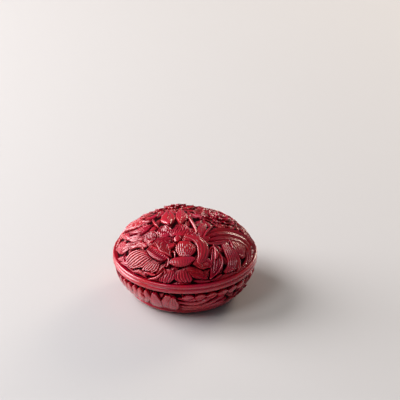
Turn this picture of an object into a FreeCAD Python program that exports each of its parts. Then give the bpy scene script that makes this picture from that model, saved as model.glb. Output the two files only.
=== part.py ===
"""Round incense box of carved red lacquer on turned wood, with a lift-off lid.

All sizes are in millimetres. The origin is the centre of the resting face and +Z is up. The lid
and the bowl are each built of three layers turned about Z: a wood core, a thick red coat and a
thin black lining. The two coats are carved: their ground is sunk, and petals and leaves stand up
from it to the turned face. The lid drops over a fitting ring that stands up out of the bowl's
mouth.
"""
import FreeCAD, Part
import math
import os
import Sketcher

# Driving dimensions: alias, value in millimetres, what it measures.
DIMENSIONS = [
    ("box_diameter", 75.0, "over the two rim beads"),
    ("bowl_height", 20.2, "resting face to the seam"),
    ("lid_height", 22.3, "seam to the crown"),
    ("belly_drop", 1.3, "widest plane of the blank below the seam"),
    ("bowl_arc_drop", 2.3, "fullest plane of the bowl's field below the widest plane"),
    ("field_inset", 0.5, "carved field behind the face of the beads"),
    ("shoulder_radius", 18.4, "round of the lid between rim and crown"),
    ("lid_bead_height", 2.1, "plain bead at the lid's mouth"),
    ("lid_bead_radius", 1.35, "round of the lid's bead"),
    ("bowl_bead_height", 2.5, "plain bead at the bowl's mouth"),
    ("bowl_bead_radius", 1.7, "round of the bowl's bead"),
    ("coat_thickness", 2.4, "red coat that takes the carving"),
    ("carve_depth", 1.95, "ground of the carving below the turned face"),
    ("land_thickness", 0.5, "red coat on the two faces of the seam"),
    ("lining_thickness", 0.5, "black lacquer inside"),
    ("lid_wall", 5.2, "coat, core and lining of the lid together"),
    ("mouth_wall", 6.0, "rim bead to the lid's rebate"),
    ("ring_clearance", 0.15, "radial gap of the lid round the ring"),
    ("ring_thickness", 1.6, "wall of the fitting ring"),
    ("ring_rise", 2.6, "ring above the seam"),
    ("ring_seat", 3.5, "ring below the seam, glued in the core"),
    ("ring_chamfer", 0.4, "lead-in on the ring's top edges"),
    ("ring_headroom", 0.4, "lid's rebate above the ring"),
    ("floor_height", 5.6, "inside floor above the resting face"),
    ("cavity_corner", 9.0, "round between the bowl's wall and floor"),
    ("foot_radius", 25.6, "outside of the foot"),
    ("foot_height", 1.0, "foot below the red coat"),
    ("foot_width", 2.2, "wall of the foot"),
    ("base_recess", 0.7, "underside above the resting face"),
    ("base_thickness", 0.5, "black base inside the foot"),
    ("foot_border_step", 1.1, "foot border beyond the foot"),
    ("foot_border_height", 1.2, "plain border bead above the foot"),
    ("foot_border_bulge", 0.4, "foot's border bead beyond the line between its two edges"),
]

# The carving's raised forms, written as places on the lid and on the bowl. A place on the lid is
# across (+X) and away (+Y), in millimetres over its face from the crown. A place on the bowl is
# around its face to the right of the front, and up from its rim bead. They are drawn on a lid, a
# bowl's round and a bowl's band of these lengths, and stretched to the real ones.
DRAWN_LID_RUN = 44.9
DRAWN_BOWL_ROUND = 232.5
DRAWN_BOWL_BAND = 18.4

# Sides of a form that come closer than this meet in a point, in millimetres.
MEETING_WIDTH = 0.9
# A side whose triangle with its chord is flatter than this share of the chord's square is straight.
STRAIGHT_SHARE = 0.01
# How far a form goes down into the coat before it is cut out, in depths of the carving.
ROOTING = 2.0

# A petal: three places up its left side from root to tip, three up its right side, how far the
# tip's round stands out, and how deep root and tip lie as shares of the carving's depth.
FRONT_PEONY = [
    ([(-22.5, -18), (-28, -15.6), (-34, -15.6)], [(-14.5, -32), (-18, -33.2), (-22, -33.6)],
     6.6, 0.92, 0.36),
    ([(-20, -33), (-26, -31.8), (-33, -30.3)], [(-15.5, -34.5), (-19.5, -37.6), (-26, -37)],
     1.5, 0.95, 0.64),
    ([(-23, -17), (-27, -11.5), (-30, -7)], [(-23.5, -19), (-30, -16), (-36.5, -14)],
     2.0, 0.9, 0.46),
    ([(-21.5, -15.5), (-23, -10.5), (-24.5, -6.5)], [(-22.5, -17.5), (-26.5, -11.5), (-30.5, -7.5)],
     1.2, 0.92, 0.56),
    ([(-21.6, -18.2), (-23.6, -14), (-23.8, -10.6)], [(-16, -17.5), (-14.7, -14), (-14.6, -10.8)],
     2.8, 0.77, 0.26),
    ([(-14.5, -15.5), (-15, -11.5), (-14.2, -8)], [(2, -16), (4, -12.5), (3.8, -9.5)],
     3.2, 0.77, 0.28),
    ([(5.3, -22.3), (8, -21.5), (12.5, -20.5)], [(5.8, -29.5), (9.5, -30), (13.2, -29.5)],
     0.9, 0.82, 0.28),
    ([(4.6, -33), (9, -35.4), (14, -37)], [(1.5, -36.5), (6, -39.5), (11.8, -41.3)],
     1.3, 0.87, 0.33),
    ([(5.8, -29), (10, -29.2), (14.3, -30)], [(5, -33.8), (10, -34.9), (14.8, -34.8)],
     0.8, 0.77, 0.15),
    ([(2.5, -36), (4, -39.5), (6, -42.4)], [(-6, -36.8), (-6.5, -40), (-6.2, -43.6)],
     0.4, 0.9, 0.49),
    ([(-5, -36.6), (-5.6, -40), (-6.4, -43.2)], [(-12.8, -34.8), (-15, -38), (-18, -40.2)],
     1.2, 0.87, 0.41),
    ([(-1, -18.5), (-0.5, -15.5), (0.3, -13)], [(3.5, -19.5), (6.5, -17.5), (8, -15)],
     1.4, 0.62, 0.18),
    ([(3, -19.5), (6.5, -18), (9.6, -16.6)], [(5, -22.5), (8.5, -21.8), (12.4, -20.2)],
     0.8, 0.56, 0.2),
    ([(-16, -21.2), (-18.5, -19.4), (-21.8, -20.6)], [(-11.8, -27), (-9.8, -28.6), (-11.2, -31.8)],
     2.2, 0.5, 0.08),
    ([(-11, -14.9), (-15, -15.3), (-17.9, -18.6)], [(-6.6, -16.5), (-7.2, -22), (-7.2, -28.8)],
     0.8, 0.46, 0.04),
    ([(-6, -19), (-6, -17), (-5.2, -15.6)], [(-3, -19.2), (-2.2, -17.2), (-2.4, -15.4)],
     0.8, 0.46, 0.26),
    ([(-3.6, -19.2), (-5, -23.5), (-4.8, -29)], [(3.2, -20), (5.5, -23.8), (4.8, -28.9)],
     0.8, 0.41, 0.23),
    ([(-8.8, -29.6), (-10.2, -31.2), (-11.8, -33.2)], [(5, -28.8), (5.6, -30.3), (4.9, -31.9)],
     2.8, 0.13, 0.23),
]
BUD_AND_FANS = [
    ([(-8.8, -6.5), (-12.9, 0), (-9.6, 10.8)], [(-8.3, -6.5), (-7.6, 2), (-9.1, 10.8)],
     0.0, 0.46, 0.26),
    ([(-8.6, -6.5), (-8.9, 2), (-9, 10.4)], [(-7.6, -6.5), (-4.9, 1), (-8.2, 10.4)],
     0.0, 0.59, 0.36),
    ([(-19, 1.2), (-26, 0.8), (-34.5, 3.5)], [(-19, 2.6), (-26.5, 9.8), (-35, 4.2)],
     0.0, 0.51, 0.31),
    ([(-33, -13.5), (-40, -11), (-43.8, -3)], [(-32.5, -12.5), (-35, -5), (-43.3, -2)],
     0.0, 0.77, 0.36),
    ([(-30.5, -9), (-35, -3), (-39, 6)], [(-30, -8.5), (-31, -1), (-38.4, 6.3)],
     0.0, 0.72, 0.41),
    ([(-3.4, -5.5), (-4.9, 3), (-2.6, 11.5)], [(-1.6, -7), (1.4, 0.5), (-2.2, 11.5)],
     0.0, 0.0, 0.0),
    ([(7.2, -17.3), (6.2, -11.5), (7.3, -5.3)], [(8.4, -17.6), (10.6, -11.5), (12.4, -5.2)],
     0.6, 0.62, 0.31),
    ([(23.6, -12.8), (29, -10.4), (36, -8.8)], [(26.3, -18.8), (30, -18.8), (35, -21)],
     3.5, 0.72, 0.36),
    ([(14.6, -19), (14.2, -28), (13, -41)], [(15.4, -19), (21.8, -29), (13.8, -41.3)],
     0.0, 0.56, 0.41),
]
# A leaf: its root, its tip, its width, how far its middle bows to the left, and the two depths.
FRONT_LEAVES = [
    ((-18.8, -2.4), (-31, -3.6), 4.6, -0.6, 0.62, 0.36),
    ((-33, -19), (-43, -12), 4.0, 1.2, 0.77, 0.36),
    ((-32.5, -31), (-41.5, -17), 4.2, -2.0, 0.77, 0.36),
    ((-36, 8), (-43, -1), 3.4, -1.0, 0.77, 0.36),
    ((-17.5, -2.5), (-24, -8.5), 3.4, -0.6, 0.77, 0.36),
    ((9.8, -18), (35.5, 3.5), 4.6, 1.2, 0.62, 0.26),
    ((10.2, -18.6), (40, 2.5), 4.6, -0.6, 0.56, 0.26),
    ((10.8, -19.3), (42, -2.5), 4.2, -2.0, 0.56, 0.31),
    ((19.6, -17.6), (20.5, -38.8), 4.6, 4.0, 0.56, 0.26),
    ((20.4, -17.6), (27.5, -34), 5.2, 3.6, 0.51, 0.26),
    ((21, -17.4), (34.3, -27), 4.8, 2.6, 0.62, 0.31),
    ((35.5, -24.5), (42.8, -9), 4.0, -1.2, 0.77, 0.36),
    ((29, -33.5), (38.5, -21.5), 4.0, -1.0, 0.77, 0.46),
    ((37, -12.5), (43.6, -2.5), 3.4, -1.0, 0.77, 0.36),
    ((14.5, -41.5), (33.5, -28.5), 3.6, -1.6, 0.87, 0.51),
    ((-29.5, -32.2), (-16.8, -36.3), 2.6, 0.2, 0.56, 0.36),
]
FAR_LEAVES = [
    ((-20, 12), (-36, 17), 6.5, 1.2, 0.77, 0.36),
    ((-24, 8), (-41, 9), 5.0, -1.0, 0.77, 0.36),
    ((-21, 19), (-33, 29), 6.5, -1.5, 0.77, 0.36),
    ((-20, 28), (-26, 37), 5.5, 1.2, 0.77, 0.36),
    ((-14, 12), (-22, 4), 4.5, 1.0, 0.77, 0.36),
    ((-2, 12), (5, 17), 4.0, 1.0, 0.77, 0.36),
    ((7, 24), (16, 39), 6.5, 1.5, 0.77, 0.36),
    ((8, 31), (4, 43), 5.0, 0.8, 0.77, 0.36),
    ((13, 22), (28, 32), 6.5, -1.5, 0.77, 0.36),
    ((28, 20), (37, 23), 5.5, 1.0, 0.77, 0.36),
    ((31, 12), (42, 11), 5.5, 1.0, 0.77, 0.36),
    ((30, 5), (43, 4), 5.0, -0.8, 0.77, 0.36),
    ((-15, 40), (-4, 43.5), 3.6, 1.2, 0.77, 0.36),
    ((-30, 20), (-41, 16), 4.2, 1.0, 0.77, 0.36),
    ((19, 27), (24, 37), 4.5, -1.0, 0.77, 0.36),
    ((33, 27), (28, 34), 4.0, 1.0, 0.77, 0.36),
]
# A flower seen from above: the place of its heart and its reach.
FAR_PEONIES = [((18, 9.5), 13), ((-6, 27), 15)]
# A ring of such a flower: petals, where they start and end as shares of its reach, their width as
# a share of an even one, and the depths at their roots and tips.
PEONY_RINGS = [(8, 0.36, 1.0, 1.02, 0.9, 0.49), (6, 0.2, 0.74, 0.98, 0.72, 0.28),
               (4, 0.02, 0.46, 0.9, 0.49, 0.0)]

# A petal seen from above: places along it as shares of its length, with its half width there as
# shares of its width, and its tip's round as a share of its reach.
FAN_SIDE = [(0.0, 0.22), (0.55, 0.46), (0.88, 0.42)]
FAN_ROUND = 0.14
# Each petal of a ring turns and reaches a little more or less than its neighbours.
SWAY_STEP = 2.4
SWAY_TURN = 0.07
SWAY_REACH = 0.05
# The next ring in is turned by this, in radians.
RING_TURN = 0.5

# Petals and leaves on the near side of the bowl.
BOWL_PETALS = [
    ([(-49, -13.5), (-44, -6.5), (-43.2, -2.6)], [(-46.2, -14.5), (-39.2, -7.5), (-39.1, -2.9)],
     1.3, 0.82, 0.18),
    ([(-44.5, -13.5), (-40, -6.5), (-39.2, -2.6)], [(-41.7, -14.5), (-35.2, -7.5), (-35.1, -2.9)],
     1.3, 0.82, 0.24),
    ([(-40, -13.5), (-36, -6.5), (-35.2, -2.6)], [(-37.2, -14.5), (-31.2, -7.5), (-31.1, -2.9)],
     1.3, 0.82, 0.18),
    ([(-35.5, -13.5), (-32, -6.5), (-31.2, -2.6)], [(-32.7, -14.5), (-27.2, -7.5), (-27.1, -2.9)],
     1.3, 0.82, 0.24),
    ([(-31, -13.5), (-28, -6.5), (-27.2, -2.6)], [(-28.2, -14.5), (-23.2, -7.5), (-23.1, -2.9)],
     1.3, 0.82, 0.18),
    ([(-26.5, -13.5), (-24, -6.5), (-23.2, -2.6)], [(-23.7, -14.5), (-19.2, -7.5), (-19.1, -2.9)],
     1.3, 0.82, 0.24),
    ([(-21, -16.5), (-19.5, -9), (-18.5, -3)], [(-13, -16.5), (-13.6, -9), (-14.6, -3)],
     1.4, 0.62, 0.26),
    ([(-13.5, -16.5), (-13.4, -9), (-12.6, -3)], [(-5.5, -16.8), (-5.8, -9), (-7, -3)],
     1.2, 0.72, 0.31),
]
BOWL_LEAVES = [
    ((-5, -16.5), (-3.4, -1.6), 4.0, 0.8, 0.77, 0.36),
    ((0, -14), (11, -2.4), 5.0, 1.5, 0.77, 0.36),
    ((2, -16.8), (14, -8), 4.8, 1.2, 0.77, 0.36),
]
# Half flowers with leaves between them run on round the bowl, from one place to the other.
BAND_START, BAND_END = 14.0, 182.5
BAND_FLOWERS = 5
BAND_FLOWER_UP = -16.0
# Fans of petals in each half flower: first turn and step in degrees, petals, where they start and
# end, their width, and the two depths.
BAND_FANS = [(12, 26, 7, 3.2, 12.6, 6.4, 0.87, 0.38), (28, 41, 4, 0.8, 7.4, 4.4, 0.62, 0.18)]
# Every other petal of a fan lies deeper by this.
FAN_STAGGER = 0.07
# Leaves between two half flowers, placed from the middle between them.
BAND_LEAVES = [
    ((-3, -16.5), (-5, -2.0), 4.6, -1.0, 0.77, 0.36),
    ((1, -16.8), (0.5, -1.8), 4.6, 0.8, 0.77, 0.36),
    ((4, -15.5), (5.5, -2.4), 4.0, 1.0, 0.77, 0.36),
]

SHEET_NAME = "Sizes"
FULL_TURN = 360
PARTS_FOLDER = "parts"


class Size:
    """A length with the spreadsheet formula that gives it, so both follow one source."""

    def __init__(self, value, formula):
        self.value = value
        self.formula = formula

    def __add__(self, other):
        other = as_size(other)
        return Size(self.value + other.value, f"({self.formula} + {other.formula})")

    def __sub__(self, other):
        other = as_size(other)
        return Size(self.value - other.value, f"({self.formula} - {other.formula})")

    def __mul__(self, other):
        other = as_size(other)
        return Size(self.value * other.value, f"({self.formula} * {other.formula})")

    def __truediv__(self, other):
        other = as_size(other)
        return Size(self.value / other.value, f"({self.formula} / {other.formula})")


def as_size(value):
    """A plain number as a Size."""
    return value if isinstance(value, Size) else Size(float(value), str(float(value)))


def root(size):
    """The square root of a Size."""
    return Size(math.sqrt(size.value), f"sqrt({size.formula})")


def make_sheet(doc):
    """Writes the driving dimensions into a spreadsheet and returns them by alias."""
    sheet = doc.addObject("Spreadsheet::Sheet", SHEET_NAME)
    sizes = {}
    for row, (alias, value, meaning) in enumerate(DIMENSIONS, start=1):
        sheet.set(f"A{row}", meaning)
        sheet.set(f"B{row}", str(value))
        sheet.setAlias(f"B{row}", alias)
        sizes[alias] = Size(value, f"{SHEET_NAME}.{alias}")
    doc.recompute()
    return sizes


class Blank:
    """The turned shapes that the pieces share, worked out from the driving dimensions."""

    def __init__(self, size):
        self.outer_radius = size["box_diameter"] / 2
        self.seam_z = size["bowl_height"]
        self.belly_z = self.seam_z - size["belly_drop"]
        self.crown_z = self.seam_z + size["lid_height"]
        self.field_radius = self.outer_radius - size["field_inset"]
        # Lid: a shoulder arc centred on the belly plane runs into a crown arc centred on the axis.
        self.lid_arc_x = self.outer_radius - size["shoulder_radius"]
        self.lid_arc_radius = size["shoulder_radius"] - size["field_inset"]
        # Bowl: one arc, upright a little below the belly plane, that ends at the foot's border.
        self.bowl_arc_z = self.belly_z - size["bowl_arc_drop"]
        self.foot_edge_x = size["foot_radius"] + size["foot_border_step"]
        self.foot_edge_z = size["foot_height"]
        run = self.field_radius - self.foot_edge_x
        drop = self.bowl_arc_z - self.foot_edge_z
        self.bowl_arc_radius = (run * run + drop * drop) / (run * 2)
        self.bowl_arc_x = self.field_radius - self.bowl_arc_radius
        # Fit of the lid on the ring.
        self.rebate_radius = self.outer_radius - size["mouth_wall"]
        self.rebate_top_z = self.seam_z + size["ring_rise"] + size["ring_headroom"]
        self.ring_outer = self.rebate_radius - size["ring_clearance"]
        self.ring_inner = self.ring_outer - size["ring_thickness"]
        self.ring_bottom_z = self.seam_z - size["ring_seat"]
        self.ring_top_z = self.seam_z + size["ring_rise"]
        self.base_top_z = size["base_recess"] + size["base_thickness"]

    def crown_arc(self, depth):
        """Centre height and radius of the lid's crown arc, depth below its blank."""
        shoulder = self.lid_arc_radius.value - depth
        rise = self.crown_z.value - depth - self.belly_z.value
        reach = self.lid_arc_x.value
        radius = (reach ** 2 + rise ** 2 - shoulder ** 2) / (2 * (rise - shoulder))
        return self.crown_z.value - depth - radius, radius

    def lid_arc_end(self, depth, height):
        """The lid's shoulder at a height, depth below its blank, as a plain number."""
        radius = self.lid_arc_radius.value - depth
        return self.lid_arc_x.value + math.sqrt(radius ** 2 - (height - self.belly_z.value) ** 2)

    def bowl_arc_end(self, depth, height):
        """The bowl's wall at a height, depth below its blank, as a plain number."""
        radius = self.bowl_arc_radius.value - depth
        return self.bowl_arc_x.value + math.sqrt(radius ** 2 - (height - self.bowl_arc_z.value) ** 2)


class Profile:
    """A closed half-section in the XZ plane, drawn end to end and held by named dimensions."""

    # The sketcher's own numbers for an edge's points, the origin and the upright axis.
    START, END, CENTRE = range(1, 4)
    ORIGIN = -1
    AXIS = ORIGIN - 1

    def __init__(self, body, name):
        plane = next(f for f in body.Origin.OriginFeatures if f.Role == "XZ_Plane")
        self.sketch = body.newObject("Sketcher::SketchObject", name)
        self.sketch.AttachmentSupport = (plane, [""])
        self.sketch.MapMode = "FlatFace"
        self.edges = []
        self.named = 0

    def line(self, start, end):
        """Adds a straight edge between two plain points and returns its index."""
        edge = Part.LineSegment(FreeCAD.Vector(*start, 0), FreeCAD.Vector(*end, 0))
        return self._add(edge, self.START, self.END)

    def arc(self, centre, start, end):
        """Adds the short arc about centre from start to end and returns its index."""
        radius = math.dist(centre, start)
        first = math.atan2(start[1] - centre[1], start[0] - centre[0])
        last = math.atan2(end[1] - centre[1], end[0] - centre[0])
        turns_left = math.sin(last - first) > 0
        circle = Part.Circle(FreeCAD.Vector(*centre, 0), FreeCAD.Vector(0, 0, 1), radius)
        low, high = (first, last) if turns_left else (last, first)
        edge = Part.ArcOfCircle(circle, low, high)
        ends = (self.START, self.END) if turns_left else (self.END, self.START)
        return self._add(edge, *ends)

    def _add(self, edge, start, end):
        index = self.sketch.addGeometry(edge, False)
        self.edges.append((index, start, end))
        return index

    def close(self, smooth=()):
        """Joins each edge's end to the next edge's start, tangent where the first is in smooth."""
        for here, after in zip(self.edges, self.edges[1:] + self.edges[:1]):
            kind = "Tangent" if here[0] in smooth else "Coincident"
            self._hold(kind, here[0], here[2], after[0], after[1])

    def first(self, edge):
        """The end of an edge that the outline reaches first."""
        return edge, next(start for index, start, _ in self.edges if index == edge)

    def last(self, edge):
        """The end of an edge that the outline leaves by."""
        return edge, next(end for index, _, end in self.edges if index == edge)

    def centre(self, edge):
        """The centre of an arc."""
        return edge, self.CENTRE

    def at_x(self, point, size):
        """Holds a point's distance from the axis."""
        self._measure("DistanceX", size, self.ORIGIN, 1, *point)

    def at_z(self, point, size):
        """Holds a point's height."""
        self._measure("DistanceY", size, self.ORIGIN, 1, *point)

    def on_axis(self, point):
        """Holds a point on the axis of the box."""
        self._hold("PointOnObject", *point, self.AXIS)

    def radius(self, edge, size):
        """Holds an arc's radius."""
        self._measure("Radius", size, edge)

    def level(self, *edges):
        """Holds straight edges level."""
        for edge in edges:
            self._hold("Horizontal", edge)

    def upright(self, *edges):
        """Holds straight edges parallel to the axis."""
        for edge in edges:
            self._hold("Vertical", edge)

    def _hold(self, kind, *where):
        return self.sketch.addConstraint(Sketcher.Constraint(kind, *where))

    def _measure(self, kind, size, *where):
        size = as_size(size)
        index = self._hold(kind, *where, size.value)
        self.named += 1
        name = f"{kind}_{self.named}"
        self.sketch.renameConstraint(index, name)
        self.sketch.setExpression(f"Constraints.{name}", size.formula)


def turned_body(doc, name, draw):
    """A body whose one feature turns the profile that draw() makes about the Z axis."""
    body = doc.addObject("PartDesign::Body", name)
    body.Label = name
    profile = Profile(body, name + "_section")
    draw(profile)
    doc.recompute()
    turn = body.newObject("PartDesign::Revolution", name + "_turning")
    turn.Profile = profile.sketch
    turn.ReferenceAxis = (profile.sketch, ["V_Axis"])
    turn.Angle = FULL_TURN
    profile.sketch.Visibility = False
    body.Tip = turn
    body.Placement = FreeCAD.Placement()
    doc.recompute()
    return body


def draw_lid_dome(profile, blank, depth, start_z, upward):
    """Draws the lid's shoulder and crown arcs, depth below the blank, between start_z and the axis.

    Upward runs from the shoulder to the axis, and otherwise the arcs run back down. Returns the
    edge that meets the axis and the edge that ends at start_z.
    """
    depth = as_size(depth)
    shoulder_centre = (blank.lid_arc_x.value, blank.belly_z.value)
    crown_height, crown_radius = blank.crown_arc(depth.value)
    crown_centre = (0.0, crown_height)
    rise = shoulder_centre[1] - crown_height
    share = crown_radius / math.hypot(shoulder_centre[0], rise)
    low = (blank.lid_arc_end(depth.value, start_z.value), start_z.value)
    joint = (shoulder_centre[0] * share, crown_height + rise * share)
    top = (0.0, crown_height + crown_radius)
    if upward:
        shoulder = profile.arc(shoulder_centre, low, joint)
        crown = profile.arc(crown_centre, joint, top)
    else:
        crown = profile.arc(crown_centre, top, joint)
        shoulder = profile.arc(shoulder_centre, joint, low)
    return shoulder, crown, depth


def hold_lid_dome(profile, blank, dome, start_z, upward):
    """Holds the arcs of draw_lid_dome, once the outline is closed."""
    shoulder, crown, depth = dome
    profile.at_x(profile.centre(shoulder), blank.lid_arc_x)
    profile.at_z(profile.centre(shoulder), blank.belly_z)
    profile.radius(shoulder, blank.lid_arc_radius - depth)
    profile.on_axis(profile.centre(crown))
    if upward:
        profile.at_z(profile.first(shoulder), start_z)
        profile.at_z(profile.last(crown), blank.crown_z - depth)
    else:
        profile.at_z(profile.last(shoulder), start_z)
        profile.at_z(profile.first(crown), blank.crown_z - depth)


def bead_points(blank, radius, low_z, high_z):
    """Centre and the two ends of a rim bead that reaches the full diameter."""
    centre = (blank.outer_radius.value - radius.value, (low_z.value + high_z.value) / 2)
    half = (high_z.value - low_z.value) / 2
    edge_x = centre[0] + math.sqrt(radius.value ** 2 - half ** 2)
    return centre, (edge_x, low_z.value), (edge_x, high_z.value)


def hold_bead(profile, blank, bead, radius, low_z, high_z):
    """Holds a rim bead's centre and radius."""
    profile.at_x(profile.centre(bead), blank.outer_radius - radius)
    profile.at_z(profile.centre(bead), (low_z + high_z) / 2)
    profile.radius(bead, radius)


def lid_turned_face(profile, size, blank):
    """The lid's dome as it is turned, before it is carved, with a plain drum down to the foot."""
    bottom_z = size["foot_height"]
    start = (blank.lid_arc_end(0, blank.seam_z.value), blank.seam_z.value)

    bottom = profile.line((0.0, bottom_z.value), (start[0], bottom_z.value))
    drum = profile.line((start[0], bottom_z.value), start)
    dome = draw_lid_dome(profile, blank, 0, blank.seam_z, upward=True)
    axis = profile.line((0.0, blank.crown_z.value), (0.0, bottom_z.value))
    profile.close(smooth=(dome[0],))

    profile.level(bottom)
    profile.upright(drum, axis)
    profile.on_axis(profile.first(bottom))
    profile.at_z(profile.first(bottom), bottom_z)
    hold_lid_dome(profile, blank, dome, blank.seam_z, upward=True)


def lid_coat_ground(profile, size, blank):
    """Outside of the lid's red coat: seam land, rim bead and the sunk ground of the carving."""
    depth = size["carve_depth"]
    bead_top_z = blank.seam_z + size["lid_bead_height"]
    centre, low, high = bead_points(blank, size["lid_bead_radius"], blank.seam_z, bead_top_z)
    field_start = (blank.lid_arc_end(depth.value, bead_top_z.value), bead_top_z.value)

    land = profile.line((0.0, blank.seam_z.value), low)
    bead = profile.arc(centre, low, high)
    step = profile.line(high, field_start)
    dome = draw_lid_dome(profile, blank, depth, bead_top_z, upward=True)
    axis = profile.line((0.0, (blank.crown_z - depth).value), (0.0, blank.seam_z.value))
    profile.close(smooth=(dome[0],))

    profile.level(land, step)
    profile.upright(axis)
    profile.on_axis(profile.first(land))
    profile.at_z(profile.first(land), blank.seam_z)
    hold_bead(profile, blank, bead, size["lid_bead_radius"], blank.seam_z, bead_top_z)
    hold_lid_dome(profile, blank, dome, bead_top_z, upward=True)


def lid_coat_hollow(profile, size, blank):
    """The space inside the lid's red coat, with the seam land cut round the lining."""
    land_z = blank.seam_z + size["land_thickness"]
    start_z = blank.seam_z - size["land_thickness"]
    inner_edge = blank.rebate_radius + size["lining_thickness"]
    coat_start = (blank.lid_arc_end(size["coat_thickness"].value, land_z.value), land_z.value)

    bottom = profile.line((0.0, start_z.value), (inner_edge.value, start_z.value))
    edge = profile.line((inner_edge.value, start_z.value), (inner_edge.value, land_z.value))
    shelf = profile.line((inner_edge.value, land_z.value), coat_start)
    inside = draw_lid_dome(profile, blank, size["coat_thickness"], land_z, upward=True)
    top_z = blank.crown_z - size["coat_thickness"]
    axis = profile.line((0.0, top_z.value), (0.0, start_z.value))
    profile.close(smooth=(inside[0],))

    profile.level(bottom, shelf)
    profile.upright(edge, axis)
    profile.on_axis(profile.first(bottom))
    profile.at_z(profile.first(bottom), start_z)
    profile.at_x(profile.first(edge), inner_edge)
    hold_lid_dome(profile, blank, inside, land_z, upward=True)


def lid_wood_core(profile, size, blank):
    """Turned wood core of the lid, closed in by the coat and the lining."""
    land_z = blank.seam_z + size["land_thickness"]
    ledge_z = blank.rebate_top_z + size["lining_thickness"]
    inner_depth = size["lid_wall"] - size["lining_thickness"]
    inner_edge = blank.rebate_radius + size["lining_thickness"]
    coat_start = (blank.lid_arc_end(size["coat_thickness"].value, land_z.value), land_z.value)
    cavity_start = (blank.lid_arc_end(inner_depth.value, ledge_z.value), ledge_z.value)

    bottom = profile.line((inner_edge.value, land_z.value), coat_start)
    outside = draw_lid_dome(profile, blank, size["coat_thickness"], land_z, upward=True)
    top_z, under_z = blank.crown_z - size["coat_thickness"], blank.crown_z - inner_depth
    drop = profile.line((0.0, top_z.value), (0.0, under_z.value))
    inside = draw_lid_dome(profile, blank, inner_depth, ledge_z, upward=False)
    ledge = profile.line(cavity_start, (inner_edge.value, ledge_z.value))
    edge = profile.line((inner_edge.value, ledge_z.value), (inner_edge.value, land_z.value))
    profile.close(smooth=(outside[0], inside[1]))

    profile.level(bottom, ledge)
    profile.upright(drop, edge)
    profile.at_x(profile.first(bottom), inner_edge)
    hold_lid_dome(profile, blank, outside, land_z, upward=True)
    profile.on_axis(profile.first(drop))
    hold_lid_dome(profile, blank, inside, ledge_z, upward=False)


def lid_inner_lining(profile, size, blank):
    """Black lacquer inside the lid, with the rebate that drops over the ring."""
    ledge_z = blank.rebate_top_z + size["lining_thickness"]
    outer_depth = size["lid_wall"] - size["lining_thickness"]
    outer_edge = blank.rebate_radius + size["lining_thickness"]
    outer_start = (blank.lid_arc_end(outer_depth.value, ledge_z.value), ledge_z.value)
    inner_start = (
        blank.lid_arc_end(size["lid_wall"].value, blank.rebate_top_z.value),
        blank.rebate_top_z.value,
    )
    low_in = (blank.rebate_radius.value, blank.seam_z.value)
    low_out = (outer_edge.value, blank.seam_z.value)
    high_out = (outer_edge.value, ledge_z.value)
    high_in = (blank.rebate_radius.value, blank.rebate_top_z.value)

    mouth = profile.line(low_in, low_out)
    back = profile.line(low_out, high_out)
    upper_ledge = profile.line(high_out, outer_start)
    outside = draw_lid_dome(profile, blank, outer_depth, ledge_z, upward=True)
    top_z, under_z = blank.crown_z - outer_depth, blank.crown_z - size["lid_wall"]
    drop = profile.line((0.0, top_z.value), (0.0, under_z.value))
    inside = draw_lid_dome(profile, blank, size["lid_wall"], blank.rebate_top_z, upward=False)
    lower_ledge = profile.line(inner_start, high_in)
    wall = profile.line(high_in, low_in)
    profile.close(smooth=(outside[0], inside[1]))

    profile.level(mouth, upper_ledge, lower_ledge)
    profile.upright(back, drop, wall)
    profile.at_x(profile.first(mouth), blank.rebate_radius)
    profile.at_z(profile.first(mouth), blank.seam_z)
    profile.at_x(profile.last(mouth), outer_edge)
    hold_lid_dome(profile, blank, outside, ledge_z, upward=True)
    profile.on_axis(profile.first(drop))
    hold_lid_dome(profile, blank, inside, blank.rebate_top_z, upward=False)


def bowl_turned_face(profile, size, blank):
    """The bowl's wall as it is turned, before it is carved, with a plain drum up to the crown."""
    arc_centre = (blank.bowl_arc_x.value, blank.bowl_arc_z.value)
    wall_top = (blank.field_radius.value, blank.bowl_arc_z.value)
    wall_low = (blank.foot_edge_x.value, blank.foot_edge_z.value)

    top = profile.line((0.0, blank.crown_z.value), (wall_top[0], blank.crown_z.value))
    drum = profile.line((wall_top[0], blank.crown_z.value), wall_top)
    wall = profile.arc(arc_centre, wall_top, wall_low)
    bottom = profile.line(wall_low, (0.0, blank.foot_edge_z.value))
    axis = profile.line((0.0, blank.foot_edge_z.value), (0.0, blank.crown_z.value))
    profile.close()

    profile.level(top, bottom)
    profile.upright(drum, axis)
    profile.on_axis(profile.first(top))
    profile.at_z(profile.first(top), blank.crown_z)
    profile.at_x(profile.centre(wall), blank.bowl_arc_x)
    profile.at_z(profile.first(wall), blank.bowl_arc_z)
    profile.at_z(profile.centre(wall), blank.bowl_arc_z)
    profile.radius(wall, blank.bowl_arc_radius)
    profile.at_z(profile.first(bottom), blank.foot_edge_z)


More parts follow.
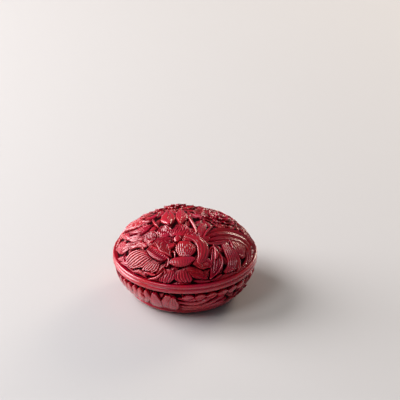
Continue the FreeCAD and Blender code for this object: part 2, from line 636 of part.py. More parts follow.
def bowl_coat_ground(profile, size, blank):
    """Outside of the bowl's red coat: rim bead, the sunk ground of the carving, and the plain
    border at the foot."""
    depth = size["carve_depth"]
    bead_low_z = blank.seam_z - size["bowl_bead_height"]
    border_z = size["foot_height"] + size["foot_border_height"]
    arc_drop, arc_radius = blank.bowl_arc_z - border_z, blank.bowl_arc_radius
    ground_radius = arc_radius - depth
    # The wall of the border stands square on the ground.
    ground_low_z = blank.bowl_arc_z - arc_drop * ground_radius / arc_radius
    centre, low, high = bead_points(blank, size["bowl_bead_radius"], bead_low_z, blank.seam_z)
    arc_centre = (blank.bowl_arc_x.value, blank.bowl_arc_z.value)
    field_top = (blank.bowl_arc_end(depth.value, bead_low_z.value), bead_low_z.value)
    field_low = (blank.bowl_arc_end(depth.value, ground_low_z.value), ground_low_z.value)
    border_top = (blank.bowl_arc_end(0, border_z.value), border_z.value)
    foot_edge = (blank.foot_edge_x.value, blank.foot_edge_z.value)
    border_x = blank.bowl_arc_x + root(arc_radius * arc_radius - arc_drop * arc_drop)
    across, up = border_x - blank.foot_edge_x, border_z - blank.foot_edge_z
    border_radius = bulge_radius(across * across + up * up, size["foot_border_bulge"])
    border_centre = circle_centre(foot_edge, border_top, border_radius.value)

    land = profile.line((0.0, blank.seam_z.value), high)
    bead = profile.arc(centre, high, low)
    step = profile.line(low, field_top)
    ground = profile.arc(arc_centre, field_top, field_low)
    profile.line(field_low, border_top)
    border = profile.arc(border_centre, border_top, foot_edge)
    underside = profile.line(foot_edge, (0.0, foot_edge[1]))
    axis = profile.line((0.0, foot_edge[1]), (0.0, blank.seam_z.value))
    profile.close()

    profile.level(land, step, underside)
    profile.upright(axis)
    profile.on_axis(profile.first(land))
    profile.at_z(profile.first(land), blank.seam_z)
    hold_bead(profile, blank, bead, size["bowl_bead_radius"], bead_low_z, blank.seam_z)
    profile.at_x(profile.centre(ground), blank.bowl_arc_x)
    profile.at_z(profile.centre(ground), blank.bowl_arc_z)
    profile.radius(ground, ground_radius)
    profile.at_z(profile.first(ground), bead_low_z)
    profile.at_z(profile.last(ground), ground_low_z)
    profile.at_x(profile.first(border), border_x)
    profile.at_z(profile.first(border), border_z)
    profile.radius(border, border_radius)
    profile.at_x(profile.first(underside), blank.foot_edge_x)
    profile.at_z(profile.first(underside), blank.foot_edge_z)


def bowl_coat_hollow(profile, size, blank):
    """The space inside the bowl's red coat, open at the foot, with the seam land cut round the
    ring."""
    land_z = blank.seam_z - size["land_thickness"]
    end_z = blank.seam_z + size["land_thickness"]
    start_z = as_size(0)
    coat_radius = blank.bowl_arc_radius - size["coat_thickness"]
    core_reach = size["foot_radius"] - blank.bowl_arc_x
    core_edge_z = blank.bowl_arc_z - root(coat_radius * coat_radius - core_reach * core_reach)
    arc_centre = (blank.bowl_arc_x.value, blank.bowl_arc_z.value)
    coat_top = (blank.bowl_arc_end(size["coat_thickness"].value, land_z.value), land_z.value)
    coat_low = (size["foot_radius"].value, core_edge_z.value)
    foot_low = (size["foot_radius"].value, start_z.value)
    ring_low = (blank.ring_outer.value, land_z.value)
    ring_high = (blank.ring_outer.value, end_z.value)

    bottom = profile.line((0.0, start_z.value), foot_low)
    rise = profile.line(foot_low, coat_low)
    inside = profile.arc(arc_centre, coat_low, coat_top)
    shelf = profile.line(coat_top, ring_low)
    socket = profile.line(ring_low, ring_high)
    top = profile.line(ring_high, (0.0, end_z.value))
    axis = profile.line((0.0, end_z.value), (0.0, start_z.value))
    profile.close()

    profile.level(bottom, shelf, top)
    profile.upright(rise, socket, axis)
    profile.on_axis(profile.first(bottom))
    profile.at_z(profile.first(bottom), start_z)
    profile.at_x(profile.first(rise), size["foot_radius"])
    profile.at_x(profile.centre(inside), blank.bowl_arc_x)
    profile.at_z(profile.centre(inside), blank.bowl_arc_z)
    profile.radius(inside, coat_radius)
    profile.at_z(profile.last(inside), land_z)
    profile.at_x(profile.first(socket), blank.ring_outer)
    profile.at_z(profile.first(top), end_z)


def bulge_radius(chord_squared, bulge):
    """Radius of an arc that stands a given bulge out of its chord."""
    return (chord_squared / 4 + bulge * bulge) / (bulge * 2)


def circle_centre(low, high, radius):
    """Centre of the circle of a radius through two points, on the side of the axis."""
    middle = ((low[0] + high[0]) / 2, (low[1] + high[1]) / 2)
    across = (high[0] - low[0], high[1] - low[1])
    chord = math.hypot(*across)
    back = math.sqrt(radius ** 2 - (chord / 2) ** 2)
    return middle[0] - across[1] / chord * back, middle[1] + across[0] / chord * back


def bowl_wood_core(profile, size, blank):
    """Turned wood core of the bowl, with the rebate that the ring is glued into."""
    land_z = blank.seam_z - size["land_thickness"]
    lining_radius = blank.ring_inner + size["lining_thickness"]
    lining_corner = size["cavity_corner"] + size["lining_thickness"]
    lining_floor = size["floor_height"] - size["lining_thickness"]
    corner_x, corner_z = lining_radius - lining_corner, lining_floor + lining_corner
    coat_radius = blank.bowl_arc_radius - size["coat_thickness"]
    core_reach = size["foot_radius"] - blank.bowl_arc_x
    core_edge_z = blank.bowl_arc_z - root(coat_radius * coat_radius - core_reach * core_reach)
    arc_centre = (blank.bowl_arc_x.value, blank.bowl_arc_z.value)
    coat_top = (blank.bowl_arc_end(size["coat_thickness"].value, land_z.value), land_z.value)
    coat_low = (size["foot_radius"].value, core_edge_z.value)
    base_out = (size["foot_radius"].value, blank.base_top_z.value)
    seat_out = (blank.ring_outer.value, blank.ring_bottom_z.value)
    seat_in = (lining_radius.value, blank.ring_bottom_z.value)
    corner_high = (lining_radius.value, corner_z.value)
    corner_low = (corner_x.value, lining_floor.value)

    floor = profile.line((0.0, lining_floor.value), corner_low)
    corner = profile.arc((corner_x.value, corner_z.value), corner_low, corner_high)
    wall = profile.line(corner_high, seat_in)
    seat = profile.line(seat_in, seat_out)
    socket = profile.line(seat_out, (blank.ring_outer.value, land_z.value))
    top = profile.line((blank.ring_outer.value, land_z.value), coat_top)
    outside = profile.arc(arc_centre, coat_top, coat_low)
    edge = profile.line(coat_low, base_out)
    base = profile.line(base_out, (0.0, blank.base_top_z.value))
    axis = profile.line((0.0, blank.base_top_z.value), (0.0, lining_floor.value))
    profile.close(smooth=(floor, corner))

    profile.level(floor, seat, top, base)
    profile.upright(wall, socket, edge, axis)
    profile.on_axis(profile.first(floor))
    profile.at_z(profile.first(floor), lining_floor)
    profile.radius(corner, lining_corner)
    profile.at_x(profile.last(wall), lining_radius)
    profile.at_z(profile.last(wall), blank.ring_bottom_z)
    profile.at_x(profile.first(socket), blank.ring_outer)
    profile.at_x(profile.centre(outside), blank.bowl_arc_x)
    profile.at_z(profile.centre(outside), blank.bowl_arc_z)
    profile.radius(outside, coat_radius)
    profile.at_z(profile.first(outside), land_z)
    profile.at_x(profile.last(edge), size["foot_radius"])
    profile.at_z(profile.last(edge), blank.base_top_z)


def bowl_inner_lining(profile, size, blank):
    """Black lacquer inside the bowl, from the floor up to the ring."""
    thickness = size["lining_thickness"]
    outer_radius = blank.ring_inner + thickness
    outer_floor = size["floor_height"] - thickness
    corner_x = blank.ring_inner - size["cavity_corner"]
    corner_z = size["floor_height"] + size["cavity_corner"]
    corner_centre = (corner_x.value, corner_z.value)
    inner_low = (corner_x.value, size["floor_height"].value)
    inner_high = (blank.ring_inner.value, corner_z.value)
    outer_low = (corner_x.value, outer_floor.value)
    outer_high = (outer_radius.value, corner_z.value)
    rim_in = (blank.ring_inner.value, blank.ring_bottom_z.value)
    rim_out = (outer_radius.value, blank.ring_bottom_z.value)

    under = profile.line((0.0, outer_floor.value), outer_low)
    outer_corner = profile.arc(corner_centre, outer_low, outer_high)
    back = profile.line(outer_high, rim_out)
    rim = profile.line(rim_out, rim_in)
    wall = profile.line(rim_in, inner_high)
    inner_corner = profile.arc(corner_centre, inner_high, inner_low)
    floor = profile.line(inner_low, (0.0, size["floor_height"].value))
    axis = profile.line((0.0, size["floor_height"].value), (0.0, outer_floor.value))
    profile.close(smooth=(under, outer_corner, wall, inner_corner))

    profile.level(under, rim, floor)
    profile.upright(back, wall, axis)
    profile.on_axis(profile.first(under))
    profile.at_z(profile.first(under), outer_floor)
    profile.radius(outer_corner, size["cavity_corner"] + thickness)
    profile.at_x(profile.first(rim), outer_radius)
    profile.at_z(profile.first(rim), blank.ring_bottom_z)
    profile.at_x(profile.last(rim), blank.ring_inner)
    profile.radius(inner_corner, size["cavity_corner"])
    profile.at_z(profile.first(floor), size["floor_height"])


def fitting_ring(profile, size, blank):
    """Thin turned ring, glued in the bowl's mouth, that the lid drops over."""
    chamfer = size["ring_chamfer"]
    inner, outer = blank.ring_inner.value, blank.ring_outer.value
    low, high = blank.ring_bottom_z.value, blank.ring_top_z.value
    cut = chamfer.value

    bottom = profile.line((inner, low), (outer, low))
    outside = profile.line((outer, low), (outer, high - cut))
    outer_cut = profile.line((outer, high - cut), (outer - cut, high))
    top = profile.line((outer - cut, high), (inner + cut, high))
    inner_cut = profile.line((inner + cut, high), (inner, high - cut))
    inside = profile.line((inner, high - cut), (inner, low))
    profile.close()

    profile.level(bottom, top)
    profile.upright(outside, inside)
    profile.at_x(profile.first(bottom), blank.ring_inner)
    profile.at_z(profile.first(bottom), blank.ring_bottom_z)
    profile.at_x(profile.last(bottom), blank.ring_outer)
    profile.at_z(profile.last(outside), blank.ring_top_z - chamfer)
    profile.at_x(profile.last(outer_cut), blank.ring_outer - chamfer)
    profile.at_z(profile.last(outer_cut), blank.ring_top_z)
    profile.at_x(profile.last(top), blank.ring_inner + chamfer)
    profile.at_z(profile.last(inner_cut), blank.ring_top_z - chamfer)


def foot_and_base(profile, size, blank):
    """Black foot ring with the thin base that it surrounds."""
    outer = size["foot_radius"]
    inner = outer - size["foot_width"]
    recess, top_z = size["base_recess"], blank.base_top_z

    under = profile.line((0.0, recess.value), (inner.value, recess.value))
    inside = profile.line((inner.value, recess.value), (inner.value, 0.0))
    rest = profile.line((inner.value, 0.0), (outer.value, 0.0))
    outside = profile.line((outer.value, 0.0), (outer.value, top_z.value))
    top = profile.line((outer.value, top_z.value), (0.0, top_z.value))
    axis = profile.line((0.0, top_z.value), (0.0, recess.value))
    profile.close()

    profile.level(under, rest, top)
    profile.upright(inside, outside, axis)
    profile.on_axis(profile.first(under))
    profile.at_z(profile.first(under), recess)
    profile.at_x(profile.first(inside), inner)
    profile.at_z(profile.first(rest), 0)
    profile.at_x(profile.last(rest), outer)
    profile.at_z(profile.last(outside), top_z)


class LidField:
    """The lid's turned face, by places measured over it from the crown."""

    def __init__(self, size, blank, turned):
        self.turned = turned
        self.depth = size["carve_depth"].value
        low_z = (blank.seam_z + size["land_thickness"]).value
        self.room = upright_room(blank, low_z, blank.crown_z.value + self.depth)
        self.crown_height, self.crown_radius = blank.crown_arc(0)
        self.shoulder_x, self.shoulder_z = blank.lid_arc_x.value, blank.belly_z.value
        self.shoulder_radius = blank.lid_arc_radius.value
        self.joint = math.atan2(self.shoulder_x, self.shoulder_z - self.crown_height)
        self.crown_run = self.crown_radius * self.joint
        bead_rise = (blank.seam_z + size["lid_bead_height"] - blank.belly_z).value
        bead_lean = math.acos(bead_rise / self.shoulder_radius)
        field_run = self.crown_run + self.shoulder_radius * (bead_lean - self.joint)
        self.stretch = field_run / DRAWN_LID_RUN

    def at(self, place):
        """The point of the turned face at a place, and the direction out of the face there."""
        around = math.atan2(place[1], place[0])
        run = math.hypot(*place) * self.stretch
        if run < self.crown_run:
            lean = run / self.crown_radius
            return turned_point(0.0, self.crown_height, self.crown_radius, lean, around)
        lean = self.joint + (run - self.crown_run) / self.shoulder_radius
        return turned_point(self.shoulder_x, self.shoulder_z, self.shoulder_radius, lean, around)


class BowlField:
    """The bowl's turned face, by places measured round it and up from its rim bead."""

    def __init__(self, size, blank, turned):
        self.turned = turned
        self.depth = size["carve_depth"].value
        low_z = (size["foot_height"] + size["foot_border_height"]).value
        self.room = upright_room(blank, low_z, (blank.seam_z - size["land_thickness"]).value)
        self.arc_x, self.arc_z = blank.bowl_arc_x.value, blank.bowl_arc_z.value
        self.arc_radius = blank.bowl_arc_radius.value
        bead_rise = (blank.seam_z - size["bowl_bead_height"] - blank.bowl_arc_z).value
        border_rise = (size["foot_height"] + size["foot_border_height"] - blank.bowl_arc_z).value
        self.top_lean = math.acos(bead_rise / self.arc_radius)
        self.band = math.acos(border_rise / self.arc_radius) - self.top_lean

    def at(self, place):
        """The point of the turned face at a place, and the direction out of the face there."""
        around = 2 * math.pi * place[0] / DRAWN_BOWL_ROUND - math.pi / 2
        lean = self.top_lean - self.band * place[1] / DRAWN_BOWL_BAND
        return turned_point(self.arc_x, self.arc_z, self.arc_radius, lean, around)


def upright_room(blank, low_z, high_z):
    """The cylinder that the raised forms of a field stay in."""
    base = FreeCAD.Vector(0, 0, low_z)
    return Part.makeCylinder(blank.outer_radius.value, high_z - low_z, base)


def turned_point(centre_x, centre_z, radius, lean, around):
    """A point of a turned arc and the direction out of it: lean is its angle from upright."""
    level = FreeCAD.Vector(math.cos(around), math.sin(around), 0)
    up = FreeCAD.Vector(0, 0, 1)
    out = level * math.sin(lean) + up * math.cos(lean)
    return level * centre_x + up * centre_z + out * radius, out


def between(first, last):
    """The place half-way from one place to another."""
    return tuple((a + b) / 2 for a, b in zip(first, last))


def leaf_forms(leaves):
    """Raised forms of leaves: each side runs from the root through the widest place to the tip."""
    forms = []
    for base, tip, width, bow, root_share, tip_share in leaves:
        across, away = tip[0] - base[0], tip[1] - base[1]
        length = math.hypot(across, away)
        left = (-away / length, across / length)
        sides = []
        for reach in (bow + width / 2, bow - width / 2):
            widest = tuple(m + reach * l for m, l in zip(between(base, tip), left))
            sides.append([base, widest, tip])
        forms.append((*sides, 0.0, root_share, tip_share))
    return forms


def fan_petal(heart, angle, near, far, width, root_share, tip_share):
    """Raised form of a petal that stands out from a flower's heart."""
    out = (math.cos(angle), math.sin(angle))
    sides = []
    for aside in (width, -width):
        sides.append([
            (heart[0] + out[0] * (near + (far - near) * along) - out[1] * half * aside,
             heart[1] + out[1] * (near + (far - near) * along) + out[0] * half * aside)
            for along, half in FAN_SIDE])
    return (*sides, far * FAN_ROUND, root_share, tip_share)


def peony_forms(flowers):
    """Raised forms of whole flowers seen from above."""
    forms = []
    for heart, reach in flowers:
        for ring, (count, near, far, spread, root_share, tip_share) in enumerate(PEONY_RINGS):
            width = 2 * reach * far * math.sin(math.pi / count) * spread
            for index in range(count):
                sway = math.sin(SWAY_STEP * index + ring)
                angle = ring * RING_TURN + 2 * math.pi * index / count + SWAY_TURN * sway
                forms.append(fan_petal(heart, angle, reach * near,
                                       reach * far * (1 + SWAY_REACH * sway), width,
                                       root_share, tip_share))
    return forms


def band_forms():
    """Raised forms of the half flowers and leaves that run on round the bowl."""
    forms = []
    step = (BAND_END - BAND_START) / BAND_FLOWERS
    for index in range(BAND_FLOWERS):
        middle = BAND_START + step * (index + 0.5)
        for first, turn, count, near, far, width, root_share, tip_share in BAND_FANS:
            for petal in range(count):
                deeper = FAN_STAGGER * (petal % 2)
                forms.append(fan_petal(
                    (middle, BAND_FLOWER_UP), math.radians(first + turn * petal), near, far,
                    width, root_share + deeper, tip_share + deeper))
        edge = middle + step / 2
        forms.extend(leaf_forms([
            ((edge + base[0], base[1]), (edge + tip[0], tip[1]), *rest)
            for base, tip, *rest in BAND_LEAVES]))
    return forms


def side_edge(points):
    """One edge through three points: an arc, or a line where they hardly bend."""
    chord = points[2] - points[0]
    if (points[1] - points[0]).cross(chord).Length < STRAIGHT_SHARE * chord.Length ** 2:
        return Part.LineSegment(points[0], points[2]).toShape()
    return Part.Arc(*points).toShape()


def form_outline(left, right, bulge):
    """Closed outline of a form from its flattened sides, with the length from root to tip."""
    for end in (0, -1):
        if (left[end] - right[end]).Length < MEETING_WIDTH:
            left[end] = right[end] = (left[end] + right[end]) / 2
    tip_middle = (left[-1] + right[-1]) / 2
    along = tip_middle - (left[0] + right[0]) / 2
    length = along.Length
    along.normalize()
    edges = [side_edge(left)]
    if left[-1] != right[-1]:
        edges.append(side_edge([left[-1], tip_middle + along * bulge, right[-1]]))
    edges.append(side_edge(right[::-1]))
    if left[0] != right[0]:
        edges.append(Part.LineSegment(right[0], left[0]).toShape())
    return Part.Wire(edges), along, length


def raised_form(field, left, right, bulge, root_share, tip_share):
    """A petal or leaf that stands up out of the ground.

    Its sides are square to the turned face at its middle. Its top is the turned face, sunk at
    the root and tilted up towards the tip.
    """
    places = left + right
    middle = tuple(sum(values) / len(places) for values in zip(*places))
    origin, up = field.at(middle)
    points = [field.at(place)[0] for place in places]
    flat = [point - up * (point - origin).dot(up) for point in points]
    outline, along, length = form_outline(flat[:len(left)], flat[len(left):], bulge)
    sag = max((origin - point).dot(up) for point in points)
    rooting = sag + ROOTING * field.depth
    face = Part.Face(outline)
    face.translate(up * -rooting)
    block = face.extrude(up * (rooting + field.depth)).common(field.room)
    foot, foot_up = field.at(between(left[0], right[0]))
    top = field.turned.copy()
    top.translate(foot_up * (-root_share * field.depth))
    rise = (root_share - tip_share) * field.depth
    top.rotate(foot, along.cross(foot_up), math.degrees(math.atan2(rise, length)))
    form = block.common(top)
    if not form.isValid() or len(form.Solids) != 1:
        raise RuntimeError(f"the form at {middle} is not one valid solid")
    return form


def carved_coat(doc, name, size, blank, field_kind, forms, turned, ground, hollow):
    """A red coat: its sunk ground with the raised forms, cut out by the hollow under it."""
    def turn(draw_section):
        def draw(profile):
            draw_section(profile, size, blank)
        return turned_body(doc, draw_section.__name__, draw)

    field = field_kind(size, blank, turn(turned).Shape)
    raised = doc.addObject("Part::Feature", name + "_outside")
    raised.Shape = turn(ground).Shape.multiFuse([raised_form(field, *form) for form in forms])
    raised.Placement = FreeCAD.Placement()
    coat = doc.addObject("Part::Cut", name)
    coat.Base = raised
    coat.Tool = turn(hollow)
    coat.Placement = FreeCAD.Placement()
    doc.recompute()
    return coat


def lid_carved_coat(doc, size, blank):
    """Red coat of the lid: seam land, rim bead, and the peonies and leaves of its dome."""
    forms = FRONT_PEONY + BUD_AND_FANS + leaf_forms(FRONT_LEAVES + FAR_LEAVES)
    return carved_coat(
        doc, "lid_carved_coat", size, blank, LidField, forms + peony_forms(FAR_PEONIES),
        lid_turned_face, lid_coat_ground, lid_coat_hollow)


def bowl_carved_coat(doc, size, blank):
    """Red coat of the bowl: seam land, rim bead, the petals and leaves of its wall, and the plain
    border at the foot."""
    forms = BOWL_PETALS + leaf_forms(BOWL_LEAVES) + band_forms()
    return carved_coat(
        doc, "bowl_carved_coat", size, blank, BowlField, forms,
        bowl_turned_face, bowl_coat_ground, bowl_coat_hollow)


TURNED_PIECES = [
    lid_wood_core,
    lid_inner_lining,
    fitting_ring,
    bowl_wood_core,
    bowl_inner_lining,
    foot_and_base,
]


def check(doc, pieces):
    """Stops if any object failed to compute or a piece isn't one valid solid."""
    for item in doc.Objects:
        if {"Invalid", "Error"} & set(item.State):
            raise RuntimeError(f"{item.Label} did not compute: {item.State}")
        if item.TypeId == "Sketcher::SketchObject" and item.solve() != 0:
            raise RuntimeError(f"{item.Label} could not be solved")
    for piece in pieces:
        shape = piece.Shape
        if shape.isNull() or not shape.isValid() or len(shape.Solids) != 1:
            raise RuntimeError(f"{piece.Label} is not one valid solid")


def main():
    """Builds every piece and writes one STEP file for each."""
    doc = FreeCAD.newDocument("incense_box")
    size = make_sheet(doc)
    blank = Blank(size)
    pieces = []
    for section in TURNED_PIECES:
        def draw(profile, section=section):
            section(profile, size, blank)
        pieces.append(turned_body(doc, section.__name__, draw))
    pieces.append(lid_carved_coat(doc, size, blank))
    pieces.append(bowl_carved_coat(doc, size, blank))
    doc.recompute()
    check(doc, pieces)
    os.makedirs(PARTS_FOLDER, exist_ok=True)
    for piece in pieces:
        piece.Shape.Solids[0].exportStep(os.path.join(PARTS_FOLDER, piece.Label + ".step"))
        print(f"{piece.Label}: {piece.Shape.Volume / 1000:.2f} cm3, "
              f"{len(piece.Shape.Faces)} faces")


main()
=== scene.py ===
"""Incense box of carved red lacquer: peonies and leaves cut into the coat of its lid and bowl.

The design is drawn on two smooth forms, the uncarved lid and the uncarved bowl. A point of the
design has a place on the form in millimetres and a rise: 0 is the uncarved lacquer, and below
that the cutter has been. Each petal, leaf and stem is a closed solid with its own cut face.
"""
import dataclasses
import functools
import math
import random

import bmesh
import bpy
import numpy as np
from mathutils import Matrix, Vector


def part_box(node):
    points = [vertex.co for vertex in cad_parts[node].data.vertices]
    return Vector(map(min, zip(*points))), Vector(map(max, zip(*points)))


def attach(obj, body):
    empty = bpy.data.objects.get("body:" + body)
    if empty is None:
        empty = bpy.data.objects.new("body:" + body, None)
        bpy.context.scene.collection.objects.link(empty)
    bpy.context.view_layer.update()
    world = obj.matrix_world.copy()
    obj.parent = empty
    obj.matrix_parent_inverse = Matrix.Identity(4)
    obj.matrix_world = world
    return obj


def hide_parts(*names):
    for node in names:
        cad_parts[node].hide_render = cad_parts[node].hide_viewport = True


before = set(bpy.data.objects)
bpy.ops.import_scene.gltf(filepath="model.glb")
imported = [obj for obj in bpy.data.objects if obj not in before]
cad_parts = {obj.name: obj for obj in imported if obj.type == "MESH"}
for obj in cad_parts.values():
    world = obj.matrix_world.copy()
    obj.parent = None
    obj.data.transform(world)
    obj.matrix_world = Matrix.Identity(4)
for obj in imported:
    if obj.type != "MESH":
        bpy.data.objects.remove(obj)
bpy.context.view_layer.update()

bl_info = {
    "name": "Carved lacquer incense box",
    "version": (1, 0, 0),
    "blender": (4, 5, 0),
    "location": "3D View > Sidebar > Incense box",
    "description": "Carves the lid and bowl of a round lacquer box and sets up its stage",
    "category": "Object",
}

MM = 0.001
LID_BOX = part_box("lid_carved_coat")
BOWL_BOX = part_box("bowl_carved_coat")
CROWN_Z = LID_BOX[1][2] / MM
SEAM_Z = LID_BOX[0][2] / MM
BOX_RADIUS = LID_BOX[1][0] / MM
BORDER_FOOT_Z = BOWL_BOX[0][2] / MM
PHOTO_WIDTH = 400.0
PHOTO_HEIGHT = 400.0
SENSOR = 36.0
COOL_WHITE = (0.86, 0.9, 1.0, 1.0)
# Steps and sizes of the carved faces, in mm where they are lengths.
DRAFT = 0.1
LEAST_CUT = 0.02
LEAST_LENGTH = 0.5
FACE_PITCH = 0.3
LEAST_STEPS = 8
MOST_STEPS = 72
MOST_RIDGE_STEPS = 96
STEPS_PER_RIDGE = 4
SIDE_CROWDING = 1.3
TIP_CROWDING = 1.25
CRISP = 42.0
TINY = 1e-6
# Grid that finds which shapes stand over which: its cells in mm, its blur in cells, and the
# depth where a groove's painted shade begins and how much more makes that shade full.
RELIEF_PITCH = 0.25
SAMPLES_PER_CELL = 1.6
GROOVE_REACH = 5
FAINT_GROOVE = 0.08
GROOVE_RANGE = 0.4
# Turned coats.
QUARTER_STEPS = 90
BEAD_STEPS = 12
BEAD_STEP_IN = 0.35
BEAD_STEP_UP = 0.06
MERGE = 1e-6
GROUND_SLACK = 0.02


def amount(name, about, default, **limits):
    """A setting that is a number."""
    return bpy.props.FloatProperty(name=name, description=about, default=default, **limits)


def in_mm(name, about, default, **limits):
    """A setting that is a length in millimetres."""
    return amount(name, about + ", in mm", default, **limits)


def in_hex(name, about, default):
    """A setting that is a colour."""
    return bpy.props.StringProperty(name=name, description=about + ", sRGB hex", default=default)


class TurnedSizes(bpy.types.PropertyGroup):
    """The turned forms under the carving, as in the solid model."""

    shoulder_radius: in_mm("Shoulder radius", "Round of the lid between rim and crown", 18.4, min=5.0)
    field_inset: in_mm("Field inset", "Carved field behind the beads", 0.5, min=0.0)
    belly_drop: in_mm("Belly drop", "Widest plane below the seam", 1.3)
    bowl_arc_drop: in_mm("Bowl arc drop", "Fullest plane of the bowl below the widest", 2.3)
    foot_edge_radius: in_mm("Foot edge radius", "Outside of the border bead at the foot", 26.7)
    lid_bead_height: in_mm("Lid bead height", "Plain bead at the lid's mouth", 2.1)
    lid_bead_radius: in_mm("Lid bead radius", "Round of the lid's bead", 1.35)
    bowl_bead_height: in_mm("Bowl bead height", "Plain bead at the bowl's mouth", 2.5)
    bowl_bead_radius: in_mm("Bowl bead radius", "Round of the bowl's bead", 1.7)
    border_height: in_mm("Foot border height", "Plain bead above the foot", 1.2)
    border_bulge: in_mm("Foot border bulge", "Foot's bead beyond its chord", 0.4)
    lid_land_radius: in_mm("Lid land radius", "Inner edge of the lid's seam face", 32.0)
    bowl_land_radius: in_mm("Bowl land radius", "Inner edge of the bowl's seam face", 31.35)
    foot_socket_radius: in_mm("Foot socket radius", "Coat's edge round the foot", 25.6)
    coat_thickness: in_mm("Coat thickness", "Red coat before carving", 2.4)
    land_thickness: in_mm("Land thickness", "Red coat on the seam's faces", 0.5)
    carve_depth: in_mm("Carving depth", "Ground below the uncarved lacquer", 1.95)
    root_depth: in_mm("Root depth", "Bottom of every carved shape", 2.2)
    ground_pitch: in_mm("Ground pitch", "Lozenges cut in the ground", 1.3)
    groove: amount("Groove", "Depth of the cut beside a higher shape, as a share of the step", 0.9)
    ground_cut: in_mm("Ground cut", "Depth of the lozenges' lines", 0.16)


class RedLacquer(bpy.types.PropertyGroup):
    """Colours and polish of the carved red coat."""

    face: in_hex("Face", "Red of the polished faces", "#B40C33")
    warm: in_hex("Warm face", "Brighter layer where the cutter went deeper", "#BA1022")
    # Painted shade: the dark red-black that the hollows, the cutter's lines and the grooves are mixed
    # towards, in place of the shade that falls in them.
    hollow_shade: in_hex("Recess", "Old rubbed-in dark in the hollows", "#1C0104")
    roughness: amount("Roughness", "Polish of the faces", 0.25, min=0.0, max=1.0, subtype="FACTOR")
    tool_mark: in_mm("Tool mark size", "Width of the cutter's facets", 1.1)


class BlackLacquer(bpy.types.PropertyGroup):
    """Colours and polish of the black lacquer inside and underneath."""

    face: in_hex("Face", "Black of the polished lining", "#0E0B0A")
    rubbed: in_hex("Rubbed edge", "Brown where the black wears thin", "#2A1912")
    lining_roughness: amount("Lining roughness", "Polish inside", 0.12, subtype="FACTOR")
    foot_roughness: amount("Foot roughness", "Polish underneath", 0.34, subtype="FACTOR")


class TurnedWood(bpy.types.PropertyGroup):
    """Colours of the wood core."""

    early: in_hex("Early wood", "Pale part of each ring", "#C7A57A")
    late: in_hex("Late wood", "Dark part of each ring", "#9A7148")
    ring_pitch: in_mm("Ring pitch", "Distance between rings", 1.6)


class StageLook(bpy.types.PropertyGroup):
    """Floor, lights and camera."""

    floor: in_hex("Floor", "Pale floor", "#CECDCB")
    key_power: amount("Key power", "Window light from the far left, in W", 23.0)
    warm_power: amount("Warm power", "Warm light from the far right, in W", 6.0)
    fill_power: amount("Fill power", "Soft light from above the camera, in W", 4.0)
    sky: amount("Surround", "Strength of the plain surround", 0.14)
    pitch: amount("Camera pitch", "Angle below level", math.radians(28.37), subtype="ANGLE")
    focal_px: amount("Focal length", "Focal length in pixels of the photograph", 2209.0)
    axis_px: amount("Box across", "Pixel column of the middle of the widest plane", 185.08)
    belly_px: amount("Box down", "Pixel row of the middle of the widest plane", 255.6)
    distance: amount("Camera distance", "From the camera to the widest plane's middle", 1.148,
        unit="LENGTH")


def settings(name):
    """One property group of the scene."""
    return getattr(bpy.context.scene, "incense_box_" + name)


# Forms that the design is drawn on.


class LidForm:
    """The uncarved lid: a crown arc and a shoulder arc. Across and away are measured over it."""

    body = "lid"

    def __init__(self):
        size = settings("turned")
        self.belly_z = SEAM_Z - size.belly_drop
        self.reach = BOX_RADIUS - size.shoulder_radius
        self.shoulder = size.shoulder_radius - size.field_inset
        rise = CROWN_Z - self.belly_z
        self.crown = (self.reach ** 2 + rise ** 2 - self.shoulder ** 2) / (
            2 * (rise - self.shoulder))
        self.crown_z = CROWN_Z - self.crown
        self.turn = math.atan2(self.reach, self.belly_z - self.crown_z)
        self.crown_run = self.crown * self.turn
        bead_top = SEAM_Z + size.lid_bead_height
        self.rim_turn = math.acos((bead_top - self.belly_z) / self.shoulder)
        self.rim_run = self.crown_run + self.shoulder * (self.rim_turn - self.turn)

    def profile(self, run, rise):
        """Radius and height of the form's section, run millimetres from the crown."""
        on_crown = run < self.crown_run
        angle = np.where(on_crown, run / self.crown,
                         self.turn + (run - self.crown_run) / self.shoulder)
        length = rise + np.where(on_crown, self.crown, self.shoulder)
        radius = np.where(on_crown, 0.0, self.reach) + length * np.sin(angle)
        height = np.where(on_crown, self.crown_z, self.belly_z) + length * np.cos(angle)
        return radius, height

    def unfold(self, radius, height):
        """Run and rise of a point of the section: the reverse of profile."""
        angle = np.arctan2(radius, height - self.crown_z)
        aside, above = radius - self.reach, height - self.belly_z
        on_crown = angle < self.turn
        run = np.where(on_crown, self.crown * angle,
                       self.crown_run + self.shoulder * (np.arctan2(aside, above) - self.turn))
        rise = np.where(on_crown, np.hypot(radius, height - self.crown_z) - self.crown,
                        np.hypot(aside, above) - self.shoulder)
        return run, rise

    def design_spot(self, run, angle):
        """The place in the design of a point of the turned form."""
        return run * np.cos(angle), run * np.sin(angle)

    def at(self, across, away, rise):
        """Points of the design in space, in metres."""
        run = np.maximum(np.hypot(across, away), TINY)
        radius, height = self.profile(run, rise)
        return np.stack((across * radius / run, away * radius / run, height), axis=-1) * MM


